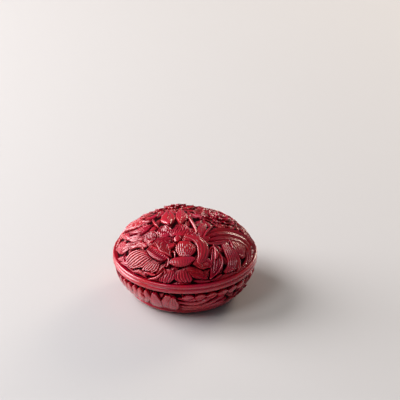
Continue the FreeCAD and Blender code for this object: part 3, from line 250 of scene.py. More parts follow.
class BowlForm:
    """The uncarved bowl: one arc. Around is measured on its fullest circle, drop down from the
    rim bead."""

    body = "bowl"

    def __init__(self):
        size = settings("turned")
        self.fullest = BOX_RADIUS - size.field_inset
        self.arc_z = SEAM_Z - size.belly_drop - size.bowl_arc_drop
        run = self.fullest - size.foot_edge_radius
        drop = self.arc_z - BORDER_FOOT_Z
        self.arc = (run ** 2 + drop ** 2) / (2 * run)
        self.arc_x = self.fullest - self.arc
        bead_low = SEAM_Z - size.bowl_bead_height
        self.top_turn = math.asin((bead_low - self.arc_z) / self.arc)
        border_top = BORDER_FOOT_Z + size.border_height
        self.low_turn = math.asin((border_top - self.arc_z) / self.arc)
        self.band = self.arc * (self.top_turn - self.low_turn)

    def profile(self, drop, rise):
        """Radius and height of the form's section, drop millimetres below the rim bead."""
        angle = self.top_turn - drop / self.arc
        length = self.arc + rise
        return self.arc_x + length * np.cos(angle), self.arc_z + length * np.sin(angle)

    def unfold(self, radius, height):
        """Drop and rise of a point of the section: the reverse of profile."""
        aside, above = radius - self.arc_x, height - self.arc_z
        drop = self.arc * (self.top_turn - np.arctan2(above, aside))
        return drop, np.hypot(aside, above) - self.arc

    def design_spot(self, drop, angle):
        """The place in the design of a point of the turned form."""
        return (angle + math.pi / 2) * self.fullest, -drop

    def at(self, around, up, rise):
        """Points of the design in space, in metres: up is 0 at the bead and negative below."""
        radius, height = self.profile(-up, rise)
        angle = around / self.fullest - math.pi / 2
        return np.stack((radius * np.cos(angle), radius * np.sin(angle), height), axis=-1) * MM


# Lines and cuts of the design.


def smooth_line(points, share):
    """Points of the smooth line through a few points, share 0 to 1 along it."""
    count = len(points) - 1
    place = np.clip(share, 0.0, 1.0) * count
    index = np.minimum(place.astype(int), count - 1)
    part = (place - index)[..., None]
    ends = np.concatenate(([points[0] * 2 - points[1]], points, [points[-1] * 2 - points[-2]]))
    before, here, after, beyond = (ends[index + step] for step in range(4))
    return 0.5 * (
        here * 2
        + (after - before) * part
        + (before * 2 - here * 5 + after * 4 - beyond) * part ** 2
        + (here * 3 - before - after * 3 + beyond) * part ** 3)


def ease(low, high, value):
    """0 below low, 1 above high and smooth between."""
    part = np.clip((value - low) / (high - low), 0.0, 1.0)
    return part * part * (3 - 2 * part)


def valley(turns):
    """1 on a line where turns is whole, falling fast to 0 between, like a cutter's V."""
    return 1.0 - abs(np.sin(math.pi * turns))


@dataclasses.dataclass(eq=False)
class Carving:
    """A petal, leaf or stem: its two sides from root to tip, and how its face is cut.

    All depths are in millimetres. Levels are those of the root and the tip, and a third raises
    the middle between the sides, as dish hollows it. Bulge and root_bulge push the two ends out,
    round_tip and round_root draw the sides in there. Lobes scallop the tip, serrate and notch
    tooth the sides. A lip is a rolled edge, and a tip_lip is one at the tip alone. Rays run from
    the root to the tip, flutes are broad rounded ridges, and veins sweep from the midrib, which
    rib raises, to the sides. Edge rounds the rim, and fine is for smaller faces.
    """

    left: list
    right: list
    levels: tuple
    bend: float = 1.0
    bulge: float = 0.0
    root_bulge: float = 0.0
    round_tip: float = 0.3
    round_root: float = 0.2
    lobes: int = 0
    lobe: float = 0.0
    lobe_crown: float = 0.18
    dish: float = 0.0
    lip: float = 0.0
    tip_lip: float = 0.0
    lip_width: float = 0.55
    rays: int = 0
    ray: float = 0.16
    ray_from: float = 0.05
    flutes: int = 0
    flute: float = 0.35
    veins: int = 0
    vein: float = 0.2
    sweep: float = 0.35
    rib: float = 0.0
    edge: float = 0.3
    serrate: int = 0
    notch: float = 0.0
    fine: float = 1.0

    def __post_init__(self):
        self.left, self.right = np.array(self.left, float), np.array(self.right, float)
        self.root, self.tip, self.crown = (*self.levels, 0.0)[:3]
        tip_line = self.right[-1] - self.left[-1]
        growth = (self.right[-1] + self.left[-1] - self.right[0] - self.left[0]) / 2
        self.length = max(math.hypot(*growth) + max(self.bulge, 0.0), LEAST_LENGTH)
        out = np.array((-tip_line[1], tip_line[0]))
        if out @ growth < 0:
            out = -out
        self.out = out / max(math.hypot(*out), TINY)
        self.width = float(self.widths(np.linspace(0.25, 1.0, 4)).max())

    def widths(self, along):
        """Distance between the two sides."""
        line = smooth_line(self.right, along) - smooth_line(self.left, along)
        return np.hypot(line[..., 0], line[..., 1])

    def place(self, side, along):
        """Where points of the face lie on the form: side -1 to 1, along 0 to 1."""
        reach = side * (1.0 - self.round_tip * ease(0.6, 1.15, along) * 1.4)
        reach = reach * (1.0 - self.round_root * (1.0 - ease(-0.1, 0.35, along)))
        if self.serrate:
            tooth = 1.0 - self.notch * valley(self.serrate * along) * ease(0.04, 0.2, along)
            reach = reach * (abs(side) * tooth + 1.0 - abs(side))
        half = ((reach + 1.0) / 2.0)[..., None]
        spot = smooth_line(self.left, along) * (1 - half) + smooth_line(self.right, along) * half
        push = self.bulge * (1.0 - side * side) * along ** 2
        if self.lobes:
            scallop = abs(np.sin(math.pi * self.lobes * (side + 1.0) / 2.0)) ** 0.7
            push = push + self.lobe * (scallop - 1.0) * along ** 5
        push = push - self.root_bulge * (1.0 - side * side) * (1.0 - along) ** 2
        return spot + self.out * push[..., None]

    def rise(self, side, along):
        """Level of the cut face at points, and how much they lie in a cutter's line, which gets painted
        shade.
        """
        width = self.widths(along)
        rim = np.minimum((1.0 - abs(side)) * width / 2.0, (1.0 - along) * self.length)
        middle = 1.0 - side * side
        across = (side + 1.0) / 2.0
        level = self.root + (self.tip - self.root) * along ** self.bend
        level = level + self.crown * middle
        level = level - self.dish * middle * np.sin(math.pi * np.minimum(along, 0.97)) ** 0.7
        if self.lip or self.tip_lip:
            edge = rim if self.lip else (1.0 - along) * self.length
            roll = np.exp(-((edge - 0.8 * self.lip_width) / self.lip_width) ** 2)
            level += (self.lip or self.tip_lip) * roll
        line = np.zeros_like(level)
        if self.lobes:
            level -= self.lobe_crown * valley(self.lobes * across) * along ** 2
        if self.rays:
            ray = ease(self.ray_from, self.ray_from + 0.3, along)
            ray *= valley(self.rays * across + 0.12 * np.sin(7 * along)) ** 1.3
            level -= self.ray * ray
            line = np.maximum(line, ray)
        if self.flutes:
            flute = valley(self.flutes * across) * ease(0.0, 0.15, along)
            level -= self.flute * flute
            line = np.maximum(line, flute ** 3)
        if self.veins:
            swept = self.veins * (along - self.sweep * abs(side))
            vein = valley(swept) ** 1.5 * ease(0.03, 0.15, abs(side))
            level -= self.vein * vein
            line = np.maximum(line, vein ** 2)
        if self.rib:
            level += self.rib * np.exp(-((side * width) / 0.7) ** 2) * (1.0 - 0.7 * along)
        level -= self.edge * np.clip(1.0 - rim / (self.edge * 1.6), 0.0, 1.0) ** 2
        return np.minimum(level, -LEAST_CUT), line


class Relief:
    """Heights of all the carvings on one form, and how much their neighbours crowd each place.

    The cutter outlines each shape where a lower one runs under it, so a face is cut deeper where
    what stands beside it is higher, and painted shade darkens it there.
    """

    def __init__(self, span, carvings):
        self.shape = np.round(np.array(span) / RELIEF_PITCH).astype(int)
        self.pitch = np.array(span) / self.shape
        heights = np.full(self.shape, -settings("turned").root_depth)
        for carving in carvings:
            across, down = (max(LEAST_STEPS, int(reach / RELIEF_PITCH * SAMPLES_PER_CELL))
                            for reach in (carving.width, carving.length))
            side, along = np.meshgrid(np.linspace(-1, 1, across), np.linspace(0, 1, down))
            level = carving.rise(side, along)[0]
            np.maximum.at(heights, self.cells(carving.place(side, along)), level)
        shifts = range(-GROOVE_REACH, GROOVE_REACH + 1)
        weights = np.exp(-2.0 * (np.array(shifts) / GROOVE_REACH) ** 2)
        weights /= weights.sum()
        for axis in (0, 1):
            heights = sum(weight * np.roll(heights, shift, axis)
                          for weight, shift in zip(weights, shifts))
        self.around = heights

    def cells(self, spot):
        """Cells of the grid that places of the design fall in."""
        index = np.floor(spot / self.pitch).astype(int) % self.shape
        return index[..., 0], index[..., 1]

    def groove(self, spot, level):
        """How much deeper the cutter goes at places of a face."""
        return settings("turned").groove * np.clip(self.around[self.cells(spot)] - level, 0, None)


def blade(points, widths, levels, **cut):
    """A leaf, stem or curl along a line, with its widths at even steps from root to tip."""
    line = np.array(points, float)
    share = np.linspace(0.0, 1.0, max(len(points), len(widths)) + 1)
    half = np.interp(share, np.linspace(0.0, 1.0, len(widths)), widths) / 2
    heading = smooth_line(line, share + 0.02) - smooth_line(line, share - 0.02)
    heading /= np.hypot(heading[:, 0], heading[:, 1])[:, None]
    aside = np.stack((-heading[:, 1], heading[:, 0]), axis=1) * half[:, None]
    middle = smooth_line(line, share)
    return Carving(middle + aside, middle - aside, levels, **cut)


def crowded(even):
    """Even steps from -1 to 1, drawn closer together towards both ends."""
    return np.copysign(1.0 - (1.0 - abs(even)) ** SIDE_CROWDING, even)


def flat_block(carving):
    """A flat block of faces for one carving: its low face at height 0, its top at 1."""
    mesh = bmesh.new()
    pitch = FACE_PITCH / carving.fine
    across, along = (max(LEAST_STEPS, min(MOST_STEPS, int(reach / pitch)))
                     for reach in (carving.width, carving.length))
    ridges = max(carving.rays, carving.flutes)
    across = max(across, min(MOST_RIDGE_STEPS, STEPS_PER_RIDGE * ridges))
    bmesh.ops.create_grid(mesh, x_segments=across + across % 2, y_segments=along, size=1.0)
    raised = bmesh.ops.extrude_face_region(mesh, geom=mesh.faces[:])["geom"]
    top = [item for item in raised if isinstance(item, bmesh.types.BMVert)]
    bmesh.ops.translate(mesh, verts=top, vec=(0.0, 0.0, 1.0))
    return mesh


def shape_block(form, carving, block, root_depth):
    """Places of a block's points in space, with their level and the painted shade of their lines and
    grooves: it becomes one solid.
    """
    side = crowded(block[:, 0])
    along = 1.0 - ((1.0 - block[:, 1]) / 2.0) ** TIP_CROWDING
    is_top = block[:, 2] > 0.5
    spot = carving.place(side, along)
    level, line = carving.rise(side, along)
    groove = relief(type(form)).groove(spot, level)
    # Painted shade: a face is darkened where a higher neighbour stands beside it, as well as cut deeper.
    line = np.maximum(line, np.clip((groove - FAINT_GROOVE) / GROOVE_RANGE, 0.0, 1.0))
    level = np.where(is_top, np.maximum(level - groove, -root_depth), -root_depth)
    outward = spot - carving.place(np.zeros(1), np.full(1, 0.5))
    reach = np.maximum(np.hypot(outward[:, 0], outward[:, 1]), DRAFT)
    spot = spot + np.where(is_top, 0.0, DRAFT / reach)[:, None] * outward
    shade = np.clip(1.0 + level / root_depth, 0.0, 1.0)
    return form.at(spot[:, 0], spot[:, 1], level), shade, np.where(is_top, line, 0.0)


def get_points(data):
    """A mesh's points as rows."""
    flat = np.empty(len(data.vertices) * 3)
    data.vertices.foreach_get("co", flat)
    return flat.reshape(-1, 3)


def set_points(data, points, shade, line):
    """Puts a mesh's points in place, with the two attributes that the finish reads."""
    data.vertices.foreach_set("co", points.ravel())
    for name, values in (("cut_level", shade), ("line_and_groove_shade", line)):
        data.attributes.new(name, "FLOAT", "POINT").data.foreach_set("value", values)
    mesh = bmesh.new()
    mesh.from_mesh(data)
    bmesh.ops.recalc_face_normals(mesh, faces=mesh.faces)
    mesh.to_mesh(data)
    mesh.free()
    data.shade_smooth()
    data.set_sharp_from_angle(angle=math.radians(CRISP))


def new_object(name, data):
    """Puts an object into the scene."""
    item = bpy.data.objects.new(name, data)
    bpy.context.scene.collection.objects.link(item)
    return item


def new_piece(name, mesh):
    """Turns a bmesh into an object."""
    data = bpy.data.meshes.new(name)
    mesh.to_mesh(data)
    mesh.free()
    return new_object(name, data)


def carve(name):
    """Makes a named piece of the design: several carvings on the same form."""
    kind, draw = DESIGN[name]
    form, carvings = kind(), draw()
    root_depth = settings("turned").root_depth
    mesh = bmesh.new()
    counts = [0]
    spare = bpy.data.meshes.new("block")
    for carving in carvings:
        block = flat_block(carving)
        block.to_mesh(spare)
        block.free()
        mesh.from_mesh(spare)
        counts.append(len(mesh.verts))
    bpy.data.meshes.remove(spare)
    piece = new_piece(name, mesh)
    blocks = get_points(piece.data)
    shapes = [shape_block(form, carving, blocks[first:last], root_depth)
              for carving, first, last in zip(carvings, counts, counts[1:])]
    set_points(piece.data, *(np.concatenate(part) for part in zip(*shapes)))
    dress(piece, form)


def leaf(start, end, width, bow=0.0, root=-1.5, tip=-0.7, crown=0.3, **cut):
    """A leaf along a bowed line, with a midrib, side veins and a toothed edge."""
    start, end = np.array(start, float), np.array(end, float)
    aside = np.array((start[1] - end[1], end[0] - start[0]))
    middle = (start + end) / 2 + aside / math.hypot(*aside) * bow
    shape = dict(rib=0.18, veins=7, vein=0.22, serrate=6, notch=0.16, round_tip=0.0,
                 round_root=0.0)
    shape.update(cut)
    widths = (0.12 * width, 0.75 * width, width, 0.7 * width, 0.06 * width)
    return blade((start, middle, end), widths, (root, tip, crown), **shape)


def ring_petal(centre, angle, near, far, width, levels, **cut):
    """A fan-shaped petal that stands out from a flower's centre."""
    middle = np.array(centre, float)
    out = np.array((math.cos(angle), math.sin(angle)))
    aside = np.array((-out[1], out[0])) * width
    steps = ((0.0, 0.22), (0.55, 0.46), (0.88, 0.42))
    left = [middle + out * (near + (far - near) * along) + aside * half for along, half in steps]
    right = [middle + out * (near + (far - near) * along) - aside * half for along, half in steps]
    return Carving(left, right, levels, bulge=far * 0.14, **cut)


def round_peony(centre, reach):
    """A full peony seen from above: three rings of lobed petals and a cupped heart."""
    petals = []
    # For each ring, how many petals, where they begin and end, their spread, levels and rays.
    rings = ((8, 0.36, 1.0, 1.02, (-1.75, -0.95), 8), (6, 0.2, 0.74, 0.98, (-1.4, -0.55), 7),
             (4, 0.02, 0.46, 0.9, (-0.95, -0.05), 6))
    for ring, (count, near, far, spread, levels, rays) in enumerate(rings):
        width = 2 * reach * far * math.sin(math.pi / count) * spread
        for index in range(count):
            sway = math.sin(2.4 * index + ring)
            angle = ring * 0.5 + 2 * math.pi * index / count + 0.07 * sway
            petals.append(ring_petal(
                centre, angle, reach * near, reach * far * (1 + 0.05 * sway), width, levels,
                lobes=3, lobe=0.05 * reach, rays=rays, ray=0.28, ray_from=0.25,
                dish=0.45 if ring else 0.2, lip=0.2 if ring else 0.1))
    return petals + [
        ring_petal(centre, 2.1 * index, -0.06 * reach, reach * 0.2, reach * 0.2,
                   (-0.5, -0.05, 0.25)) for index in range(3)]


def front_peony():
    """The large flower on the near side of the lid, from its outer petals to its heart."""
    outer = [
        Carving([(-22.2, -19.6), (-29, -17.4), (-36.2, -16.6)],
            [(-17.6, -28.6), (-22.5, -30.4), (-28.2, -31.4)], (-1.5, -0.7, 0.4), bulge=3.0, lobes=4,
            lobe=1.0, rays=8, ray=0.3, ray_from=-0.2, lip_width=0.8, fine=1.2, tip_lip=0.2),
        Carving([(-18.2, -27.8), (-23, -30), (-27.6, -31.2)],
            [(-13.6, -32.2), (-15, -34.6), (-17.4, -37)], (-1.4, -0.7, 0.35), bulge=-0.6, lobes=4,
            lobe=0.7, rays=6, ray=0.3, ray_from=-0.2, fine=1.2, tip_lip=0.2),
        Carving([(-21, -19.4), (-26.5, -17), (-31.5, -16.8)],
            [(-20.6, -16), (-24.8, -12.8), (-28.6, -12)], (-1.5, -0.6, 0.35), bulge=1.6, lobes=3,
            lobe=0.7, rays=5, ray=0.2, tip_lip=0.2),
        Carving([(-27, -15), (-33, -14.6), (-38.6, -14.6)], [(-26, -12.4), (-31, -9.4), (-36.4, -8)],
            (-1.7, -0.9, 0.3), bulge=1.8, lobes=3, lobe=0.8, rays=6, ray=0.2),
        Carving([(-22.5, -13.5), (-27.4, -12), (-31.8, -9.2)], [(-21.8, -10.8), (-25, -7.4), (-28.4, -5)],
            (-1.7, -0.8, 0.25), bulge=1.4, lobes=2, lobe=0.6, rays=6),
        Carving([(-20.6, -17.2), (-22.4, -14), (-22.2, -10.4)],
            [(-16.8, -16.8), (-15.3, -14), (-15.4, -11.4)], (-1.35, -0.35, 0.35), bulge=1.9, rays=8,
            ray=0.34, round_tip=0.2),
        Carving([(-15.6, -15.2), (-16.2, -11.6), (-15, -8.6)], [(-7.4, -14.6), (-6.6, -11), (-7.2, -7.6)],
            (-1.5, -0.5, 0.3), bulge=1.8, lobes=2, lobe=0.8, rays=8, ray=0.3),
        Carving([(-7.8, -14.6), (-7, -11), (-5.6, -8.2)], [(1.4, -15.6), (3.6, -12.5), (3.4, -9.8)],
            (-1.4, -0.6, 0.3), bulge=2.0, lobes=3, lobe=0.8, rays=8, ray=0.3),
        Carving([(3.2, -34), (8, -36.6), (12.6, -37.2)], [(-0.6, -36.4), (5, -40.4), (11.8, -41.6)],
            (-1.6, -0.6, 0.3), bulge=1.8, lobes=3, lobe=0.9, rays=8, ray=0.4, tip_lip=0.2),
        Carving([(7.4, -27.6), (11.6, -28), (15, -28.8)], [(4.4, -33.6), (9, -35.4), (14.2, -35.2)],
            (-1.2, -0.5, 0.3), bulge=1.2, lobes=3, lobe=0.7, rays=8, ray=0.4, tip_lip=0.2),
        Carving([(2.5, -36), (4, -39.5), (7, -42.6)], [(-6, -36.8), (-6.5, -40), (-6.2, -43.6)],
            (-1.7, -0.95, 0.4), bulge=0.4, lobes=3, lobe=0.8, rays=6, ray=0.22),
        Carving([(-5, -36.6), (-5.6, -40), (-6.4, -43.2)], [(-12.8, -34.8), (-15, -38), (-18, -40.2)],
            (-1.6, -0.8, 0.4), bulge=1.2, lobes=3, lobe=0.8, rays=6, ray=0.22),
        blade([(0.4, -15.8), (6.4, -17.6), (9.6, -22.2), (9.9, -27.6), (7.6, -33)],
            (2.6, 5.4, 6.4, 6.6, 4.0), (-0.8, -0.6, 0.45), rays=4, ray=0.12),
        Carving([(-1, -18.5), (-0.5, -15.5), (0.3, -13)], [(3.5, -19.5), (6.5, -17.5), (8, -15)],
            (-1.2, -0.35, 0.3), bulge=1.4, lobes=2, lobe=0.6, rays=6, ray=0.3),
        Carving([(6.2, -17.4), (9, -15.2), (11.4, -14.4)], [(7.8, -20.6), (11.4, -19.6), (13.6, -17.4)],
            (-1.1, -0.5, 0.3), bulge=0.9, rays=5, ray=0.3),
    ]
    cups = [
        Carving([(-15.2, -20.8), (-18.2, -19), (-21.7, -20.7)],
            [(-10.6, -26.4), (-9.2, -28.8), (-11.4, -31.7)], (-1.35, -0.55, 0.45), bend=0.8, bulge=1.5,
            lip_width=0.6, rays=11, ray=0.4, ray_from=0.45, round_tip=0.16, fine=1.6, tip_lip=0.5),
        Carving([(-10.6, -15), (-15, -15.3), (-17.7, -18.7)], [(-6.9, -16.8), (-7.6, -22), (-7.1, -28.7)],
            (-0.95, -0.5, 0.35), bulge=0.7, lobes=12, lobe=0.6, lobe_crown=0.2, rays=12, ray=0.3,
            ray_from=-0.1, round_tip=0.06, fine=1.7),
        blade([(-17.6, -19.7), (-15, -19.8), (-13.9, -22.2), (-13.1, -24.1),
               (-11.7, -25.4), (-10, -26.5), (-8.3, -28), (-7, -28.9)],
            (0.5, 1.3, 1.4, 1.4, 1.4, 1.3, 1.1, 0.5), (-0.2, -0.2, 0.18), serrate=14, notch=0.3, veins=14,
            vein=0.25, sweep=0.1, fine=2.2),
        Carving([(-5.6, -19.2), (-5.8, -17.6), (-4.8, -16)], [(-2.6, -19.2), (-1.9, -17.4), (-2.8, -16)],
            (-0.7, -0.5, 0.45), bulge=0.7, root_bulge=0.5),
        Carving([(-6.4, -20.2), (-8.3, -20.8), (-9.3, -21.8)],
            [(-5.2, -22.6), (-6.8, -23.6), (-7.9, -24.4)], (-0.7, -0.3), bulge=0.3, lip=0.15),
        Carving([(-3.6, -19.6), (-4.9, -23.5), (-4.7, -29)], [(3.6, -20), (6, -23.8), (5.2, -28.9)],
            (-0.8, -0.4, 0.45), bulge=0.8, rays=9, ray=0.14, fine=1.4),
        Carving([(-7.2, -30.2), (-8.6, -31.6), (-8.6, -33.2)], [(4.8, -29.2), (6, -30), (5.4, -31.6)],
            (-0.5, -0.4, 0.4), bulge=2.6, round_tip=0.1, round_root=0.1, rays=10, ray=0.06, ray_from=0.3,
            tip_lip=0.2),
        blade([(-6.7, -25.6), (-5.6, -26.2), (-5.2, -28), (-5.3, -30.2)], (0.4, 0.8, 0.9, 0.5),
            (-0.3, -0.15, 0.05)),
        blade([(-9.5, -28.6), (-8.6, -30.2), (-8.9, -32), (-9.6, -33.9), (-11, -34)],
            (0.5, 1.0, 1.1, 1.0, 0.4), (-0.3, -0.3, 0.1)),
        blade([(-12, -34.2), (-11.2, -36.2), (-10.7, -38.4)], (0.4, 0.8, 0.4), (-0.5, -0.8, 0.1)),
        blade([(-16.8, -9.3), (-14.9, -11.5), (-14.2, -14.5)], (0.4, 0.9, 0.5), (-0.5, -0.7, 0.2)),
    ]
    curls = [
        blade([(-24.8, -33.2), (-21.8, -35), (-19.2, -36.6), (-17.2, -37)], (0.8, 1.5, 1.6, 0.8),
            (-0.6, -0.5, 0.35)),
        blade([(-22.6, -38), (-19, -38.8), (-15.6, -38.4), (-12.6, -36.4)], (0.8, 1.7, 1.8, 0.6),
            (-0.8, -0.6, 0.35)),
        blade([(-36.4, -20.6), (-37.4, -17.6), (-34.6, -15.6)], (0.6, 1.3, 0.6), (-0.7, -0.8, 0.3)),
    ]
    return outer + cups + curls


def front_leaves():
    """Bud, stems and leaves round the large flower."""
    left_side = [
        Carving([(-19, 1.2), (-26, 0.8), (-34.5, 3.5)], [(-19, 2.6), (-26.5, 9.8), (-35, 4.2)],
            (-1.0, -0.6, 0.5), veins=6, rib=0.1),
        Carving([(-18.8, -3.2), (-24, -5.6), (-30.5, -4)], [(-18.6, -1.2), (-24, -0.6), (-31, -3.4)],
            (-1.2, -0.7, 0.4), veins=5),
        Carving([(-33, -13.5), (-40, -11), (-43.8, -3)], [(-32.5, -12.5), (-35, -5), (-43.3, -2)],
            (-1.5, -0.7, 0.3), veins=8, rib=0.15),
        Carving([(-30.5, -9), (-35, -3), (-39, 6)], [(-30, -8.5), (-31, -1), (-38.4, 6.3)],
            (-1.4, -0.8, 0.4), veins=6),
        blade([(-17.3, 3), (-16.2, -1.5), (-14, -7)], (0.7, 1.8, 0.6), (-1.0, -0.6, 0.4)),
        leaf((-33, -19), (-43, -12), 4.0, 1.2),
        leaf((-32.5, -31), (-41.5, -17), 4.2, -2.0),
        leaf((-36, 8), (-43, -1), 3.4, -1.0),
        leaf((-17.5, -2.5), (-24, -8.5), 3.4, -0.6),
        leaf((-26, -9), (-33, -4.5), 3.2, 0.6, tip=-0.8),
        leaf((-24, -37.5), (-34, -28.5), 3.4, -1.4, root=-1.7, tip=-1.2),
        leaf((-37.5, -21.5), (-43, -12.5), 2.8, -0.8, root=-1.6, tip=-1.0),
        leaf((-13, -42.2), (-24, -37.8), 3.0, -0.8, root=-1.7, tip=-1.1),
        leaf((4, -43.6), (-8, -43.8), 2.4, 0.3, root=-1.7, tip=-1.3),
    ]
    bud = [
        Carving([(-8.8, -6.5), (-12.9, 0), (-9.6, 10.8)], [(-8.3, -6.5), (-7.6, 2), (-9.1, 10.8)],
            (-0.9, -0.5, 0.45)),
        Carving([(-8.6, -6.5), (-8.9, 2), (-9, 10.4)], [(-7.6, -6.5), (-4.9, 1), (-8.2, 10.4)],
            (-1.15, -0.7, 0.4)),
        Carving([(-9.6, -5.8), (-9.7, -1), (-8.6, 5)], [(-7, -5.8), (-6.6, -1), (-7.6, 5)],
            (-0.5, -0.5, 0.3), rays=4),
    ]
    right_side = [
        Carving([(-3.4, -5.5), (-4.9, 3), (-2.6, 11.5)], [(-1.6, -7), (1.4, 0.5), (-2.2, 11.5)],
            (-0.35, -0.3, 0.2), veins=7, rib=0.1),
        blade([(0.5, 4), (3, -2), (5.3, -8.5), (6.2, -14)], (1.3, 1.6, 1.5, 1.2),
            (-0.9, -0.9, 0.35)),
        Carving([(7.2, -17.3), (6.2, -11.5), (7.3, -5.3)], [(8.4, -17.6), (10.6, -11.5), (12.4, -5.2)],
            (-1.2, -0.6, 0.2), bulge=0.6, rays=5),
        blade([(9.3, -17.8), (11.8, -10.5), (15.5, -4.5)], (0.7, 1.8, 0.5), (-1.0, -0.6, 0.4)),
        blade([(10, -16.6), (13.6, -10.4), (20, -5.4), (27.5, -2.4), (34.5, -1), (40.6, -3)],
            (0.8, 2.4, 3.2, 3.0, 2.2, 0.4), (-1.3, -0.8, 0.35), flutes=3, flute=0.4),
        blade([(9.8, -17.6), (14.2, -12.8), (20.6, -8.6), (28, -6), (35.5, -5.6), (41, -8.6)],
            (0.8, 2.8, 3.8, 3.6, 2.6, 0.4), (-1.1, -0.6, 0.35), flutes=4, flute=0.4),
        blade([(10.2, -18.6), (15.6, -15.4), (21.5, -12.4), (28.5, -9.9), (35.2, -9.4), (39.8, -13)],
            (0.8, 2.8, 3.6, 3.4, 2.4, 0.4), (-1.0, -0.6, 0.35), flutes=4, flute=0.4),
        blade([(11, -19.4), (16.5, -18), (21.5, -15.4), (25, -13.2)], (0.7, 2.6, 2.8, 0.5),
            (-1.1, -0.7, 0.35), flutes=2, flute=0.35),
        blade([(29.5, -4.4), (36, -5), (40.4, -9.6), (41.2, -15.5)], (0.4, 1.5, 1.7, 0.4),
            (-1.0, -0.7, 0.3)),
        blade([(31, -8), (36.8, -10), (39.6, -14.4), (39.2, -20)], (0.4, 1.6, 1.8, 0.4),
            (-1.0, -0.7, 0.3)),
        blade([(33.6, -11.4), (37.4, -14.6), (37.8, -19.4), (35.6, -24)], (0.4, 1.5, 1.7, 0.4),
            (-1.1, -0.8, 0.3)),
        Carving([(23.6, -12.4), (26.6, -17), (30.6, -20.8)], [(29.6, -9), (34.4, -10.6), (36.4, -16.6)],
            (-1.3, -0.55, 0.35), bulge=1.2, lobes=3, lobe=0.6, rays=7, ray=0.3, tip_lip=0.25),
        blade([(23.8, -13), (25.4, -14.8), (26.4, -17.8)], (0.5, 1.0, 0.4), (-0.3, -0.3, 0.15)),
        Carving([(15, -19.4), (14.4, -27), (14.6, -34), (15.4, -40)],
            [(16.2, -19.6), (20.2, -25), (21, -30.5), (16.4, -40.2)], (-1.1, -0.9, 0.2), flutes=4,
            flute=0.4),
        blade([(15.9, -21.4), (17.6, -25), (16.6, -29)], (0.8, 3.0, 0.8), (-0.6, -0.5, 0.35)),
        blade([(18.8, -24.4), (21, -27.4), (21.3, -30.8), (19.8, -34.8), (15.6, -39.8)],
            (0.4, 1.0, 1.1, 1.0, 0.4), (-0.3, -0.5, 0.15)),
        Carving([(18.8, -17.2), (22.4, -23), (25, -29), (22.4, -36)],
            [(24.4, -15), (28.8, -18.4), (31.8, -22), (34.2, -25.6)], (-1.0, -0.7, 0.4), bulge=0.8,
            lobes=5, lobe=1.7, lobe_crown=0.3, flutes=6, flute=0.42, tip_lip=0.15),
        blade([(22.6, -35.6), (20, -38.2), (17.4, -40.2)], (1.2, 1.1, 0.3), (-0.9, -1.1, 0.25)),
        blade([(26.6, -17.2), (30.6, -20.8), (33.4, -25.4), (32.4, -30)], (0.5, 2.2, 2.6, 0.5),
            (-1.0, -0.6, 0.35)),
        blade([(15.5, -19.6), (13.2, -24), (12.8, -28)], (0.6, 1.4, 0.6), (-1.4, -1.0, 0.3)),
        leaf((14.5, -41.5), (33.5, -28.5), 3.6, -1.6, root=-1.7, tip=-1.0),
        leaf((35.5, -24.5), (42.8, -9), 4.0, -1.2),
        leaf((29, -33.5), (38.5, -21.5), 4.0, -1.0, tip=-0.9),
        leaf((37, -12.5), (43.6, -2.5), 3.4, -1.0),
        leaf((5.5, -42.6), (17, -40.6), 3.0, -0.6, root=-1.7, tip=-1.2),
        leaf((19, -38.5), (27.5, -34.5), 2.6, -0.5, root=-1.7, tip=-1.2),
    ]
    return left_side + bud + right_side


def far_leaves():
    """Leaves on the far half of the lid, round its two smaller flowers."""
    places = (
        ((-20, 12), (-36, 17), 6.5, 1.2), ((-24, 8), (-41, 9), 5.0, -1.0),
        ((-21, 19), (-33, 29), 6.5, -1.5), ((-20, 28), (-26, 37), 5.5, 1.2),
        ((-14, 12), (-22, 4), 4.5, 1.0), ((-2, 12), (5, 17), 4.0, 1.0),
        ((7, 24), (16, 39), 6.5, 1.5), ((8, 31), (4, 43), 5.0, 0.8),
        ((13, 22), (28, 32), 6.5, -1.5), ((28, 20), (37, 23), 5.5, 1.0),
        ((31, 12), (42, 11), 5.5, 1.0), ((30, 5), (43, 4), 5.0, -0.8),
        ((-15, 40), (-4, 43.5), 3.6, 1.2), ((-30, 20), (-41, 16), 4.2, 1.0),
        ((-16, 36), (-24, 38), 3.8, -0.8), ((19, 27), (24, 37), 4.5, -1.0),
        ((3, 5), (9, 1), 3.6, 0.8), ((33, 27), (28, 34), 4.0, 1.0),
        ((36, 17), (42, 14), 3.5, -0.6),
    )
    return [leaf(root, tip, width, bow) for root, tip, width, bow in places]


def low_leaf(start, end, width, bow):
    """A leaf that lies just above the ground."""
    return leaf(start, end, width, bow, root=-1.75, tip=-1.4, crown=0.25, veins=6, serrate=5,
                fine=0.55)


def lid_undergrowth():
    """Low leaves all over the lid, spread evenly by turning a golden angle from one to the next."""
    chance = random.Random(3)
    form = LidForm()
    last_run, rim_run = form.rim_run - 2.5, form.rim_run - 0.6
    count = 150
    golden = math.pi * (3 - math.sqrt(5))
    shapes = []
    for step in range(count):
        spot = form.design_spot(last_run * math.sqrt((step + 0.5) / count), step * golden)
        heading = chance.uniform(0.0, 2 * math.pi)
        half = chance.uniform(4.2, 5.6)
        reach = np.array((math.cos(heading), math.sin(heading))) * half
        start, end = np.array(spot) - reach, np.array(spot) + reach
        width, bow = chance.uniform(4.2, 5.6), chance.uniform(-1.2, 1.2)
        if max(math.hypot(*start), math.hypot(*end)) < rim_run:
            shapes.append(low_leaf(start, end, width, bow))
    return shapes


